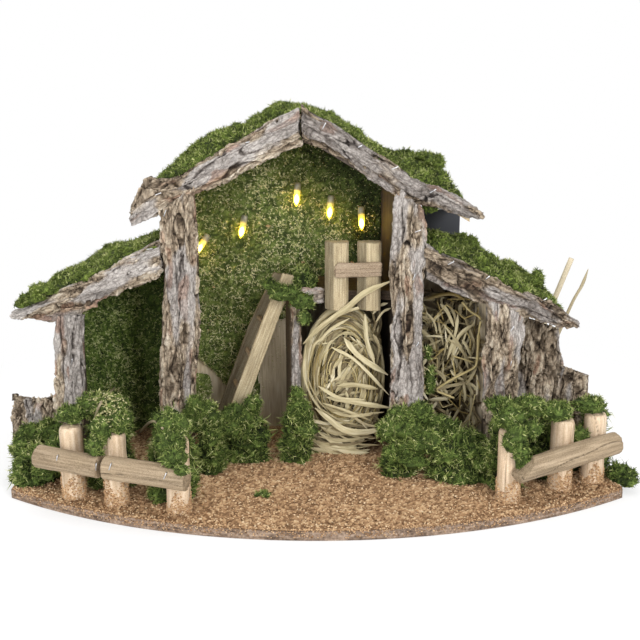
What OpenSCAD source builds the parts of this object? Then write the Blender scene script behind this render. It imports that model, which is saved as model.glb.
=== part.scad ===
// Lit wooden nativity stable: a round-fronted board carries a plywood house with a tall
// bay, a lean-to on each side, split-bark cladding, moss, straw, a loft with its ladder,
// two log fences and a string of five small lamps fed by a battery case on the back.
// x runs to the right, y to the back and z up, from the middle of the board's underside.

/* [Base] */
// Board left of the middle of the left outer post
board_left = 52; // [46:1:70]
// Board right of the middle of the right outer post
board_right = 119; // [110:1:132]
// Board left free behind the house
board_back = 6; // [2:1:12]
// Depth of the base board, front of the curve to the back edge
base_d = 280; // [270:2:320]
// Length of the straight side edge behind the curve
base_side = 186; // [170:2:200]
// Thickness of the base board
base_t = 9; // [6:0.5:15]
// Thickness of the glued cork granules
ground_t = 2; // [1:0.5:4]
// Height of the low swells in the granules
swell_h = 1.2; // [0:0.2:2]
// How far the granules stop short of the board's edge
ground_inset = 1.5; // [0:0.5:4]

/* [House] */
// Thickness of the plywood walls and roof panels
ply = 4; // [3:0.5:5]
// Depth from the frame's front face to the back of the back wall
house_d = 120; // [114:1:124]
// Ridge to the middle of the left main post
bay_l = 123; // [116:1:130]
// Ridge to the middle of the right main post
bay_r = 106; // [102:1:114]
// Left main post to left outer post
lean_l = 111; // [100:1:120]
// Right main post to right outer post
lean_r = 93; // [88:1:102]
// Thickness of the square posts
core = 20; // [16:1:22]
// How far the left side wall closes in towards the back
splay_l = 45; // [36:1:50]
// How far the right side wall closes in towards the back
splay_r = 32; // [24:1:38]
// How far the right partition closes in towards the back
splay_mid = 13; // [8:1:16]

/* [Roofs] */
// Height of the roof panels at the ridge
ridge_z = 370; // [360:1:390]
// Slope of the left main roof in degrees
pitch_l = 27; // [24:0.5:29]
// Slope of the right main roof in degrees
pitch_r = 31; // [28:0.5:32]
// Overhang of the left main roof past the middle of its post
eave_l = 26; // [20:1:32]
// Overhang of the right main roof past the middle of its post
eave_r = 60; // [46:1:64]
// Main roof above the left lean-to roof, at the left main post
lean_below_l = 63; // [58:1:76]
// Slope of the left lean-to roof in degrees
lean_pitch_l = 24; // [20:0.5:26]
// Overhang of the left lean-to roof past its outer post
lean_eave_l = 40; // [32:1:44]
// Main roof above the right lean-to roof, at the right main post
lean_below_r = 63; // [60:1:76]
// Slope of the right lean-to roof in degrees
lean_pitch_r = 25; // [22:0.5:28]
// Overhang of the right lean-to roof past its outer post
lean_eave_r = 67; // [56:1:72]
// Height of the rafter strips
rafter_h = 14; // [10:1:16]
// Depth of the rafter strips
rafter_d = 12; // [8:1:16]

/* [Bark] */
// Thickness of a bark slab at its crown
bark_t = 12; // [8:0.5:13]
// Width of the bark on the left main post
bark_post_w = 40; // [34:1:42]
// Width of the bark on the right main post
bark_post_r_w = 36; // [30:1:38]
// Width of the bark on the outer posts
bark_outer_w = 31; // [26:1:34]
// Height of the bark along the main eaves
bark_eave_w = 36; // [30:1:38]
// Height of the bark along the lean-to eaves
bark_lean_w = 37; // [30:1:38]
// Height of the bark along the loose end of the right main eave
bark_tip_w = 24; // [18:1:26]

/* [Loft and ladder] */
// Height of the loft floor's upper face
loft_z = 189; // [178:1:196]
// Thickness of the loft floor
loft_t = 10; // [6:0.5:12]
// Front edge of the loft behind the frame's front face
loft_in = 34; // [30:1:40]
// Loft's left end to the ridge line
loft_reach = 12; // [6:1:16]
// Height of the loft's two stub posts
stub_h = 70; // [50:1:76]
// Width of a stub post
stub_w = 24; // [18:1:25]
// Depth of a stub post
stub_d = 18; // [12:1:19]
// Space between the two stub posts
stub_gap = 9; // [7:1:11]
// Height of the loft rail
rail_h = 16; // [10:1:20]
// Thickness of the loft rail
rail_t = 4; // [3:0.5:6]
// Lean of the ladder from upright in degrees
ladder_lean = 21; // [17:0.5:23]
// Width of a ladder side piece
ladder_w = 16; // [12:1:17]
// Thickness of a ladder side piece
ladder_t = 4; // [3:0.5:5]
// Outside width of the ladder
ladder_span = 50; // [40:1:56]
// How far the ladder stands above the loft floor
ladder_over = 20; // [10:1:30]
// Turn of the ladder seen from above in degrees, its rear side piece to the left
ladder_turn = 14; // [0:1:18]
// Rungs of the ladder
rungs = 5; // [3:1:6]
// Diameter of a rung
rung_d = 6; // [4:0.5:7]

/* [Straw] */
// Width of the straw nest
nest_w = 86; // [76:1:88]
// Height of the straw nest
nest_h = 158; // [140:1:160]
// Depth of the straw nest
nest_d = 66; // [50:1:70]
// Turns of straw wound on the front of the nest
nest_turns = 8; // [4:1:9]
// Width of a straw strip
straw_w = 3.2; // [2.4:0.1:3.3]
// Thickness of a straw strip
straw_t = 1.8; // [1.2:0.1:2.4]

/* [Moss] */
// Thickness of the moss on the roofs at its crests
roof_moss = 20; // [12:1:24]
// Thickness of the moss on the walls
wall_moss = 6; // [4:0.5:7]
// Height of a tall moss clump on the ground
moss_h = 80; // [60:1:90]
// Breadth of a wide moss clump on the ground
moss_w = 60; // [50:1:64]

/* [Fences] */
// Diameter of a fence post
fence_post_d = 22; // [16:1:24]
// Height of a fence post above the board
fence_post_h = 75; // [60:1:90]
// Diameter of a fence rail
fence_rail_d = 22; // [16:1:24]

/* [Lamps] */
// Diameter of a lamp bulb
bulb_d = 5.4; // [4:0.1:6]
// Length of a lamp bulb
bulb_l = 13; // [9:0.5:15]
// Outside diameter of a lamp sleeve
sleeve_d = 7.4; // [6.8:0.1:9]
// Length of a lamp sleeve
sleeve_l = 12; // [8:0.5:15]
// Diameter of the lead-through in the wall
lead_d = 3; // [2:0.1:4]

/* [Battery case] */
// Diameter of a cell
cell_d = 14.5; // [14:0.1:15]
// Length of a cell with its nub
cell_l = 50.5; // [49.5:0.1:51]
// Wall of the case
case_wall = 1.6; // [1.4:0.1:2.2]
// Width of the switch end of the case
switch_bay = 13; // [12:0.5:16]
// Travel of the switch
switch_travel = 3; // [2:0.5:4]
// Thickness of the battery lid
lid_t = 1.5; // [1.2:0.1:2]

/* [Hidden] */
$fn = 40;

// Clearance between glued or stapled pieces, and the overrun of every cut
fit = 0.2;
over = 1;
// Running clearance of the battery lid and the switch
run_gap = 0.25;
// Shortest upright edge left at the rim of a moss form
moss_rim = 2;

// Board and ridge: the posts' spacings and the margins beside them make up the board's width
base_w = board_left + lean_l + bay_l + bay_r + lean_r + board_right;
ridge_x = board_left + lean_l + bay_l - base_w / 2;

// Levels and planes that follow from the sizes above
ground_z = base_t + ground_t;
back_out = base_d / 2 - board_back;
frame_y = back_out - house_d;
back_in = back_out - ply;
core_back = frame_y + core;
loft_y = frame_y + loft_in;
post_l = ridge_x - bay_l;
post_r = ridge_x + bay_r;
outer_l = post_l - lean_l;
outer_r = post_r + lean_r;
wall_l = post_l - core / 2 + ply / 2;
wall_r = post_r + core / 2 - ply / 2;

// Height of each roof panel's upper face, and of its lower face, at a place x
function main_top(x) = ridge_z - (x < ridge_x ? (ridge_x - x) * tan(pitch_l)
                                               : (x - ridge_x) * tan(pitch_r));
function main_under(x) = main_top(x) - ply / cos(x < ridge_x ? pitch_l : pitch_r);
lean_top_l = main_top(post_l) - lean_below_l;
lean_top_r = main_top(post_r) - lean_below_r;
function lean_l_top(x) = lean_top_l - (post_l - x) * tan(lean_pitch_l);
function lean_l_under(x) = lean_l_top(x) - ply / cos(lean_pitch_l);
function lean_r_top(x) = lean_top_r - (x - post_r) * tan(lean_pitch_r);
function lean_r_under(x) = lean_r_top(x) - ply / cos(lean_pitch_r);

// Value at s, from 0 to 1, along a table of shares
function share_at(shares, s) =
    let (k = s * (len(shares) - 1), i = min(floor(k), len(shares) - 2))
    shares[i] + (k - i) * (shares[i + 1] - shares[i]);

// Closed solid through rings of equally many points, ends left flat
module loft_rings(rings) {
    n = len(rings[0]);
    m = len(rings);
    sides = [for (i = [0:m - 2], j = [0:n - 1])
        let (a = i * n + j, b = i * n + (j + 1) % n, c = a + n, d = b + n)
        each [[a, c, d], [a, d, b]]];
    first_end = [for (j = [0:n - 1]) j];
    last_end = [for (j = [0:n - 1]) m * n - 1 - j];
    polyhedron(points = [for (r = rings) each r], faces = concat(sides, [first_end, last_end]));
}

// Plate standing in the xz plane between two depths
module upright(y0, y1) {
    translate([0, y1, 0]) rotate([90, 0, 0]) linear_extrude(y1 - y0) children();
}

/* Base */

module board_outline() {
    chord = base_w / 2;
    rise = base_d - base_side;
    r = (chord * chord + rise * rise) / (2 * rise);
    intersection() {
        translate([-chord, -base_d / 2]) square([base_w, base_d]);
        translate([0, r - base_d / 2]) circle(r, $fn = 180);
    }
}

module board_outline_inset() {
    chord = base_w / 2 - ground_inset;
    rise = base_d - base_side - ground_inset;
    r = (chord * chord + rise * rise) / (2 * rise);
    intersection() {
        translate([-chord, ground_inset - base_d / 2])
            square([2 * chord, base_d - 2 * ground_inset]);
        translate([0, r + ground_inset - base_d / 2]) circle(r, $fn = 180);
    }
}

module base_board() {
    color("dimgray") linear_extrude(base_t) board_outline();
}

// Plan outlines of what stands on the board itself, grown by a clearance
module post_plan(x, grow) {
    translate([x - core / 2 - grow, frame_y - grow]) square([core + 2 * grow, core + 2 * grow]);
}

// Slanting wall seen from above: its front and rear left corners are given
module wall_plan(x_front, x_rear, grow) {
    y0 = core_back + fit - grow;
    y1 = back_in - fit + grow;
    polygon([[x_front - grow, y0], [x_front + ply + grow, y0],
             [x_rear + ply + grow, y1], [x_rear - grow, y1]]);
}

module back_plan(x0, x1, grow) {
    translate([x0 - grow, back_in - grow]) square([x1 - x0 + 2 * grow, ply + 2 * grow]);
}

side_l_front = outer_l - core / 4;
side_l_rear = outer_l + splay_l;
side_r_front = outer_r + core / 4 - ply;
side_r_rear = outer_r - splay_r;
mid_l = post_l - ply / 2;
mid_r_front = post_r - core / 2 + ply / 2;
mid_r_rear = mid_r_front - splay_mid;

module board_footprints(grow) {
    for (x = [post_l, post_r, outer_l, outer_r]) post_plan(x, grow);
    wall_plan(side_l_front, side_l_rear, grow);
    wall_plan(side_r_front, side_r_rear, grow);
    wall_plan(mid_l, mid_l, grow);
    wall_plan(mid_r_front, mid_r_rear, grow);
    back_plan(side_l_rear, side_r_rear + ply, grow);
    for (p = concat(fence_l, fence_r)) translate(p) circle(fence_post_d / 2 + grow);
}

// Middles of the low swells on the open ground, as shares of half the board's width and of
// its depth
swell_shares = [[-0.37, -0.13], [-0.26, -0.24], [-0.13, -0.16], [-0.16, -0.35], [-0.02, -0.27],
                [0.06, -0.13], [0.08, -0.37], [0.2, -0.24], [0.32, -0.33], [0.42, -0.22]];

module ground_granules() {
    swell_w = 0.12 * base_d;
    color("tan") {
        translate([0, 0, base_t]) linear_extrude(ground_t) difference() {
            board_outline_inset();
            board_footprints(fit);
        }
        for (k = swell_shares) translate([k[0] * base_w / 2, k[1] * base_d, base_t])
            cylinder(h = ground_t + swell_h, d1 = 1.6 * swell_w, d2 = 0.4 * swell_w, $fn = 32);
    }
}

/* Walls */

module back_wall_main() {
    under = max(ply / cos(pitch_l), ply / cos(pitch_r)) + fit;
    color("burlywood") difference() {
        upright(back_in, back_out) polygon([
            [wall_l, base_t], [wall_r, base_t], [wall_r, main_under(wall_r) - fit],
            [ridge_x, ridge_z - under], [wall_l, main_under(wall_l) - fit]]);
        lamp_holes(lead_d + 2 * fit);
    }
}

module back_wall_left() {
    x0 = side_l_rear;
    x1 = wall_l - fit;
    color("burlywood") upright(back_in, back_out) polygon([
        [x0, base_t], [x1, base_t], [x1, lean_l_under(x1) - fit], [x0, lean_l_under(x0) - fit]]);
}

module back_wall_right() {
    x0 = wall_r + fit;
    x1 = side_r_rear + ply;
    color("burlywood") upright(back_in, back_out) polygon([
        [x0, base_t], [x1, base_t], [x1, lean_r_under(x1) - fit], [x0, lean_r_under(x0) - fit]]);
}

// Region below each roof's panels, as a block that trims what stands under it
module below_lean_l(drop) {
    x0 = outer_l - lean_eave_l;
    upright(frame_y - over, back_out + over) polygon([
        [x0, base_t], [post_l, base_t], [post_l, lean_l_under(post_l) - drop],
        [x0, lean_l_under(x0) - drop]]);
}

module below_lean_r(drop) {
    x1 = outer_r + lean_eave_r;
    upright(frame_y - over, back_out + over) polygon([
        [post_r, base_t], [x1, base_t], [x1, lean_r_under(x1) - drop],
        [post_r, lean_r_under(post_r) - drop]]);
}

module below_main(drop) {
    x0 = post_l - eave_l;
    x1 = post_r + eave_r;
    upright(frame_y - over, back_out + over) polygon([
        [x0, base_t], [x1, base_t], [x1, main_under(x1) - drop],
        [ridge_x, main_under(ridge_x) - drop], [x0, main_under(x0) - drop]]);
}

module standing(h) {
    translate([0, 0, base_t]) linear_extrude(h) children();
}

module side_wall_left() {
    color("burlywood") intersection() {
        standing(ridge_z) wall_plan(side_l_front, side_l_rear, 0);
        below_lean_l(fit);
    }
}

module side_wall_right() {
    color("burlywood") intersection() {
        standing(ridge_z) wall_plan(side_r_front, side_r_rear, 0);
        below_lean_r(fit);
    }
}

module partition_left() {
    color("burlywood") intersection() {
        standing(ridge_z) wall_plan(mid_l, mid_l, 0);
        below_main(fit);
    }
}

module partition_right() {
    color("burlywood") intersection() {
        standing(ridge_z) wall_plan(mid_r_front, mid_r_rear, 0);
        below_main(fit);
    }
}

/* Posts, roof panels and rafters */

module square_post(x) {
    standing(ridge_z) post_plan(x, 0);
}

main_drop_l = rafter_h / cos(pitch_l) + fit;
main_drop_r = rafter_h / cos(pitch_r) + fit;
lean_drop_l = rafter_h / cos(lean_pitch_l) + fit;
lean_drop_r = rafter_h / cos(lean_pitch_r) + fit;

module post_main_left() {
    color("peru") intersection() { square_post(post_l); below_main(main_drop_l); }
}

module post_main_right() {
    color("peru") intersection() { square_post(post_r); below_main(main_drop_r); }
}

module post_outer_left() {
    color("peru") intersection() { square_post(outer_l); below_lean_l(lean_drop_l); }
}

module post_outer_right() {
    color("peru") intersection() { square_post(outer_r); below_lean_r(lean_drop_r); }
}

// Sloping strip between two places x, between two depths and of an upright height
module strip(x0, z0, x1, z1, h, y0, y1) {
    upright(y0, y1) polygon([[x0, z0 - h], [x1, z1 - h], [x1, z1], [x0, z0]]);
}

lean_in_l = post_l - core / 2 - fit;
lean_in_r = post_r + core / 2 + fit;

module roof_main_left() {
    x0 = post_l - eave_l;
    x1 = ridge_x;
    color("sienna") strip(x0, main_top(x0), x1, ridge_z, ply / cos(pitch_l), frame_y, back_out);
}

module roof_main_right() {
    x0 = ridge_x + fit;
    x1 = post_r + eave_r;
    color("sienna")
        strip(x0, main_top(x0), x1, main_top(x1), ply / cos(pitch_r), frame_y, back_out);
}

module roof_lean_left() {
    x0 = outer_l - lean_eave_l;
    x1 = lean_in_l;
    color("sienna")
        strip(x0, lean_l_top(x0), x1, lean_l_top(x1), ply / cos(lean_pitch_l), frame_y, back_out);
}

module roof_lean_right() {
    x0 = lean_in_r;
    x1 = outer_r + lean_eave_r;
    color("sienna")
        strip(x0, lean_r_top(x0), x1, lean_r_top(x1), ply / cos(lean_pitch_r), frame_y, back_out);
}

module rafters() {
    y1 = frame_y + rafter_d;
    xa = post_l - core / 2;
    xb = post_r + core / 2;
    xc = outer_l - core / 2;
    xd = outer_r + core / 2;
    color("peru") {
        strip(xa, main_under(xa), ridge_x - fit, main_under(ridge_x - fit),
              rafter_h / cos(pitch_l), frame_y, y1);
        strip(ridge_x + fit, main_under(ridge_x + fit), xb, main_under(xb),
              rafter_h / cos(pitch_r), frame_y, y1);
        strip(xc, lean_l_under(xc), lean_in_l, lean_l_under(lean_in_l),
              rafter_h / cos(lean_pitch_l), frame_y, y1);
        strip(lean_in_r, lean_r_under(lean_in_r), xd, lean_r_under(xd),
              rafter_h / cos(lean_pitch_r), frame_y, y1);
    }
}

/* Split bark */

// Share of the crown thickness across a slab, t, and along it, s: furrows run lengthwise
function bark_depth(t, s, seed) =
    0.3 + 0.46 * pow(sin(180 * t), 0.7)
    + 0.13 * sin(360 * (3 * t + 1.2 * s) + seed)
    + 0.1 * cos(360 * (2 * t - 4 * s) + 2 * seed);

// Slab from p0 to p1, points in the xz plane at depth y_back, with its back flat. The cross
// directions b0 and b1 give the slant of its two ends. The edge tables say how far each
// edge lies from the middle line, in shares of the width. turn is 1 up a post, -1 along an eave.
module bark_slab(p0, p1, b0, b1, width, thick, high_shares, low_shares, y_back, seed, turn) {
    m = 9;
    rows = 16;
    rings = [for (i = [0:rows])
        let (s = i / rows,
             c = p0 + (p1 - p0) * s,
             b = b0 + (b1 - b0) * s,
             hi = width * share_at(high_shares, s) * (1 + 0.05 * sin(900 * s + seed)),
             lo = -width * share_at(low_shares, s) * (1 + 0.05 * cos(1100 * s + seed)),
             front = [for (j = [0:m]) let (t = j / m, v = lo + (hi - lo) * t)
                 [c[0] + b[0] * v, y_back - thick * bark_depth(t, s, seed), c[1] + b[1] * v]],
             ring = concat(front, [[front[m][0], y_back, front[m][2]],
                                   [front[0][0], y_back, front[0][2]]]))
        [for (j = [0:m + 2]) ring[turn > 0 ? j : m + 2 - j]]];
    loft_rings(rings);
}

module bark_post(x, x_top, z_top, slope, width, high_shares, low_shares, seed) {
    bark_slab([x, ground_z], [x_top, z_top], [1, 0], [1, slope], width, bark_t,
              high_shares, low_shares, frame_y, seed, 1);
}

module bark_post_main_left() {
    z_top = main_top(post_l) - main_cover_l;
    color("rosybrown") bark_post(post_l, post_l + bark_post_w / 13, z_top, tan(pitch_l),
        bark_post_w, [0.34, 0.26, 0.36, 0.43, 0.5, 0.52, 0.48, 0.42],
        [0.5, 0.5, 0.56, 0.6, 0.48, 0.42, 0.42, 0.43], 20);
}

module bark_post_main_right() {
    z_top = main_top(post_r) - main_cover_r;
    color("rosybrown") bark_post(post_r + bark_post_r_w / 18, post_r, z_top, -tan(pitch_r),
        bark_post_r_w, [0.42, 0.46, 0.5, 0.48, 0.44, 0.44, 0.46, 0.46],
        [0.36, 0.46, 0.48, 0.46, 0.42, 0.58, 0.46, 0.34], 130);
}

module bark_post_outer_left() {
    z_top = lean_l_top(outer_l) - lean_cover;
    color("rosybrown") bark_post(outer_l - bark_outer_w / 9, outer_l, z_top, 0,
        bark_outer_w, [0.3, 0.36, 0.42, 0.48, 0.52, 0.54],
        [0.34, 0.42, 0.5, 0.5, 0.46, 0.44], 240);
}

module bark_post_outer_right() {
    z_top = lean_r_top(outer_r) - lean_cover_r;
    color("rosybrown") bark_post(outer_r, outer_r, z_top, -tan(lean_pitch_r) / 2,
        bark_outer_w, [0.5, 0.5, 0.46, 0.44, 0.5, 0.52], [0.38, 0.44, 0.5, 0.52, 0.5, 0.5], 310);
}

// How far below the roof panels' upper face the bark of the posts ends, at each post
main_cover_l = 0.77 * bark_eave_w;
main_cover_r = 0.72 * bark_eave_w;
lean_cover = 0.92 * bark_lean_w;
lean_cover_r = 0.76 * bark_lean_w;
// Middle line of the eave bark below the roof panels' upper face
eave_drop = 0.3 * bark_eave_w;
lean_drop = 0.2 * bark_lean_w;

module bark_eave_main_left() {
    tip = post_l - eave_l - bark_eave_w / 2;
    color("rosybrown") bark_slab([tip, main_top(tip) - eave_drop],
        [ridge_x - fit, ridge_z - eave_drop], [0, 1], [0, 1], bark_eave_w, bark_t,
        [0.16, 0.62, 0.34, 0.42, 0.46, 0.5, 0.52, 0.5],
        [0.34, 0.46, 0.36, 0.44, 0.48, 0.47, 0.46, 0.48], frame_y, 60, -1);
}

module bark_eave_main_right() {
    joint_x = post_r + core / 2 + 0.2 * bark_eave_w;
    tip = post_r + eave_r + bark_tip_w / 2;
    tip_z = main_top(joint_x) - 0.1 * bark_eave_w;
    color("rosybrown") {
        bark_slab([ridge_x + fit, ridge_z - eave_drop],
            [joint_x, main_top(joint_x) - eave_drop], [0, 1], [0, 1], bark_eave_w, bark_t,
            [0.56, 0.58, 0.56, 0.52, 0.5, 0.5], [0.48, 0.22, 0.2, 0.34, 0.38, 0.14],
            frame_y, 175, -1);
        bark_slab([joint_x + fit, tip_z],
            [tip, main_top(post_r + eave_r) + 0.1 * bark_tip_w], [0, 1], [0, 1],
            bark_tip_w, bark_t, [0.46, 0.53, 0.42, 0.35, 0.08], [0.46, 0.4, 0.4, 0.36, 0.06],
            frame_y, 290, -1);
    }
}

module bark_eave_lean_left() {
    inner = post_l - bark_post_w / 2 + fit;
    mid = outer_l + bark_outer_w;
    tip = outer_l - lean_eave_l - bark_lean_w / 2.4;
    color("rosybrown") {
        bark_slab([mid, lean_l_top(mid) - lean_drop - 0.1 * bark_lean_w],
            [inner, lean_l_top(inner) - lean_drop], [0, 1], [0, 1], bark_lean_w, bark_t,
            [0.42, 0.44, 0.46, 0.52, 0.5], [0.34, 0.36, 0.38, 0.52, 0.46], frame_y, 35, -1);
        bark_slab([tip, lean_l_top(tip) + 0.06 * bark_lean_w],
            [mid - fit, lean_l_top(mid) - lean_drop - 0.14 * bark_lean_w], [0, 1], [0, 1],
            bark_lean_w, bark_t, [0.1, 0.16, 0.24, 0.34, 0.42, 0.5],
            [0.08, 0.26, 0.5, 0.54, 0.48, 0.44], frame_y, 215, -1);
    }
}

module bark_eave_lean_right() {
    inner = post_r + 0.57 * bark_post_r_w;
    mid = outer_r + bark_outer_w / 2;
    tip = outer_r + lean_eave_r + bark_lean_w / 3;
    color("rosybrown") {
        bark_slab([inner, lean_r_top(inner) - lean_drop - 0.05 * bark_lean_w],
            [mid, lean_r_top(mid) - lean_drop], [0, 1], [0, 1], bark_lean_w, bark_t,
            [0.48, 0.48, 0.46, 0.42, 0.34], [0.46, 0.47, 0.45, 0.42, 0.32], frame_y, 80, -1);
        bark_slab([mid + fit, lean_r_top(mid) - lean_drop],
            [tip, lean_r_top(tip) - 0.04 * bark_lean_w], [0, 1], [0, 1], bark_lean_w, bark_t,
            [0.34, 0.4, 0.38, 0.3, 0.06], [0.32, 0.3, 0.28, 0.24, 0.06], frame_y, 255, -1);
    }
}

/* Moss mats and clumps */

// Lumps of a moss surface at shares u and v, from 0 to 1
function moss_bump(u, v, seed) =
    0.62 + 0.2 * sin(720 * u + 300 * v + seed) + 0.18 * cos(900 * v - 430 * u + 2 * seed);

// Mat lying on a sloping panel from x0 to x1: z0 and z1 are the panel's heights there
module roof_mat(x0, z0, x1, z1, y0, y1, along_shares, seed) {
    nu = 14;
    nv = 6;
    function rim(u, v) = min(1, 7 * min(u, 1 - u) + 0.25) * min(1, 4 * min(v, 1 - v) + 0.35);
    top = [for (i = [0:nu], j = [0:nv]) let (u = i / nu, v = j / nv)
        [x0 + (x1 - x0) * u, y0 + (y1 - y0) * v,
         z0 + (z1 - z0) * u + moss_rim
         + roof_moss * share_at(along_shares, u) * moss_bump(u, v, seed) * rim(u, v)]];
    foot = [[x0, y0, z0], [x1, y0, z1], [x1, y1, z1], [x0, y1, z0]];
    k = len(top);
    w = nv + 1;
    skin = [for (i = [0:nu - 1], j = [0:nv - 1])
        let (a = i * w + j, b = a + w)
        each [[a, a + 1, b + 1], [a, b + 1, b]]];
    front = concat([for (i = [0:nu]) i * w], [k + 1, k]);
    back = concat([for (i = [nu:-1:0]) i * w + nv], [k + 3, k + 2]);
    left = concat([for (j = [nv:-1:0]) j], [k, k + 3]);
    right = concat([for (j = [0:nv]) nu * w + j], [k + 2, k + 1]);
    polyhedron(points = concat(top, foot),
               faces = concat(skin, [front, back, left, right, [k, k + 1, k + 2, k + 3]]));
}

module moss_roof_main_left() {
    x0 = post_l - eave_l + fit;
    x1 = ridge_x - fit;
    color("olivedrab") roof_mat(x0, main_top(x0), x1, main_top(x1), frame_y + fit, back_out,
        [0.4, 0.9, 1.2, 1.25, 1.1, 1, 1, 0.6], 15);
}

module moss_roof_main_right() {
    x0 = ridge_x + fit;
    x1 = post_r + eave_r - fit;
    color("olivedrab") roof_mat(x0, main_top(x0), x1, main_top(x1), frame_y + fit, back_out,
        [0.6, 0.6, 0.7, 0.7, 1.1, 1.4, 1.7, 1.3, 0.8], 125);
}

module moss_roof_lean_left() {
    x0 = outer_l - lean_eave_l + fit;
    x1 = lean_in_l;
    color("olivedrab") roof_mat(x0, lean_l_top(x0), x1, lean_l_top(x1), frame_y + fit,
        back_out, [0.7, 0.9, 1, 1.1, 0.9, 0.8, 0.8], 230);
}

module moss_roof_lean_right() {
    x0 = lean_in_r;
    x1 = outer_r + lean_eave_r - fit;
    color("olivedrab") roof_mat(x0, lean_r_top(x0), x1, lean_r_top(x1), frame_y + fit,
        back_out, [0.9, 1.1, 1.3, 1.4, 1.1, 1, 0.9, 0.7], 320);
}

// Lump of moss or straw standing at p: radii rx and ry at the foot, height h
module clump(p, rx, ry, h, z0, fullness, seed) {
    n = 10;
    rows = 5;
    rings = [for (i = [0:rows])
        let (s = sin(86 * i / rows), q = pow(1 - pow(s, 2 * fullness), 0.5 / fullness))
        [for (j = [0:n - 1])
            let (a = 360 * j / n,
                 r = q * (1 + 0.1 * sin(3 * a + 200 * s + seed) * (1 - q / 2)))
            [p[0] + rx * r * cos(a), p[1] + ry * r * sin(a), z0 + h * s]]];
    loft_rings(rings);
}

module moss_wall_main() {
    x0 = mid_l + ply + fit;
    x1 = mid_r_rear - fit;
    low_shares = [0.3, 0.22, 0.1, 0.12, 0.24, 0.45, 0.5, 0.49, 0.5, 0.48];
    span = x1 - x0;
    n = len(low_shares) - 1;
    reach = main_under(x0) - ground_z;
    low = [for (i = [n:-1:0]) [x0 + span * i / n, ground_z + reach * low_shares[i]]];
    color("olivedrab") difference() {
        upright(back_in - wall_moss, back_in - fit / 2) polygon(concat([
            [x0, main_under(x0) - moss_rim], [ridge_x, main_under(ridge_x) - moss_rim],
            [x1, main_under(x1) - moss_rim]], low));
        lamp_holes(lead_d + 4 * fit);
    }
}

module moss_wall_left() {
    x0 = side_l_rear + ply + fit;
    x1 = mid_l - fit;
    grown = wall_moss + fit;
    color("olivedrab") {
        upright(back_in - wall_moss, back_in - fit / 2) polygon([
            [x0, ground_z], [x1, ground_z], [x1, lean_l_under(x1) - moss_rim],
            [x0, lean_l_under(x0) - moss_rim]]);
        intersection() {
            translate([0, 0, ground_z]) linear_extrude(ridge_z) difference() {
                wall_plan(side_l_front + ply + fit, side_l_rear + ply + fit, 0);
                translate([side_l_rear, back_in - grown]) square([lean_l, grown]);
            }
            below_lean_l(moss_rim);
        }
    }
}

/* Loft */

loft_x0 = ridge_x - loft_reach;
prop_w = 0.5 * stub_w;

// Inner face of the right partition at a depth y
function mid_r_at(y) = mid_r_front - splay_mid * (y - core_back - fit) / (back_in - core_back);

loft_back = back_in - wall_moss - fit;

module loft_floor() {
    color("burlywood") translate([0, 0, loft_z - loft_t]) linear_extrude(loft_t) polygon([
        [loft_x0, loft_y], [mid_r_at(loft_y) - fit, loft_y],
        [mid_r_at(loft_back) - fit, loft_back], [loft_x0, loft_back]]);
}

stub_x0 = ridge_x + stub_w;
stub_z0 = loft_z - loft_t - 0.3 * stub_w;

// Stub post seen from above: its left front corner is split off at a wide slant
module stub_plan() {
    polygon([[0, -0.5 * stub_d], [0.36 * stub_w, -stub_d], [0.88 * stub_w, -stub_d],
             [stub_w, -0.8 * stub_d], [stub_w, 0], [0.08 * stub_w, 0], [0, -0.08 * stub_w]]);
}

module loft_stub_posts() {
    color("wheat") for (i = [0, 1])
        translate([stub_x0 + i * (stub_w + stub_gap), loft_y, stub_z0])
            linear_extrude(stub_h) stub_plan();
}

module loft_rail() {
    x0 = stub_x0 + 0.42 * stub_w;
    x1 = stub_x0 + 2 * stub_w + stub_gap;
    y1 = loft_y - stub_d;
    z = stub_z0 + 0.5 * stub_h;
    color("tan") upright(y1 - rail_t, y1) polygon([
        [x0 + 0.1 * rail_h, z], [x1, z + 0.1 * rail_h], [x1, z + rail_h],
        [x0 + 0.2 * rail_h, z + 0.95 * rail_h], [x0, z + 0.7 * rail_h], [x0, z + 0.2 * rail_h]]);
}

module loft_edge_bark() {
    z = loft_z - loft_t / 2;
    color("rosybrown") bark_slab([loft_x0 + prop_w / 5, z], [stub_x0 - fit, z], [0, 1], [0, 1],
        1.6 * loft_t, 0.6 * bark_t, [0.46, 0.52, 0.48, 0.5], [0.44, 0.5, 0.52, 0.46],
        loft_y, 95, -1);
}

module loft_prop_bark() {
    x = loft_x0 + prop_w / 2;
    color("rosybrown") bark_slab([x, ground_z], [x, loft_z - 1.45 * loft_t], [1, 0], [1, 0],
        prop_w, 0.6 * bark_t, [0.5, 0.46, 0.48, 0.5], [0.48, 0.5, 0.46, 0.5], loft_y, 150, 1);
}

// Board that closes the space under the loft, running back from the prop
module loft_side_board() {
    lag = 0.6 * prop_w;
    color("saddlebrown") translate([0, 0, ground_z])
        linear_extrude(loft_z - loft_t - fit - ground_z) polygon([
            [loft_x0, loft_y], [loft_x0 + ply, loft_y],
            [loft_x0 + ply - lag, loft_back], [loft_x0 - lag, loft_back]]);
}

/* Ladder: it leans to the right, its front side piece against the loft's upper left edge */

// How far the ladder runs over the ground from its foot to the height of the loft
ladder_run = (loft_z - ground_z) * tan(ladder_lean);
ladder_y0 = loft_y - 0.4 * ladder_run * sin(ladder_turn);
// Foot of the ladder's right front edge on the ground
ladder_foot = loft_x0 - fit / cos(ladder_lean) - ladder_run * cos(ladder_turn);
ladder_len = (loft_z - ground_z + ladder_over) / cos(ladder_lean);

// Places a piece drawn along z, its right front edge at x and y 0, on the ladder's lean
module on_ladder() {
    translate([ladder_foot, ladder_y0, ground_z]) rotate([0, ladder_lean, ladder_turn])
        children();
}

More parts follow.
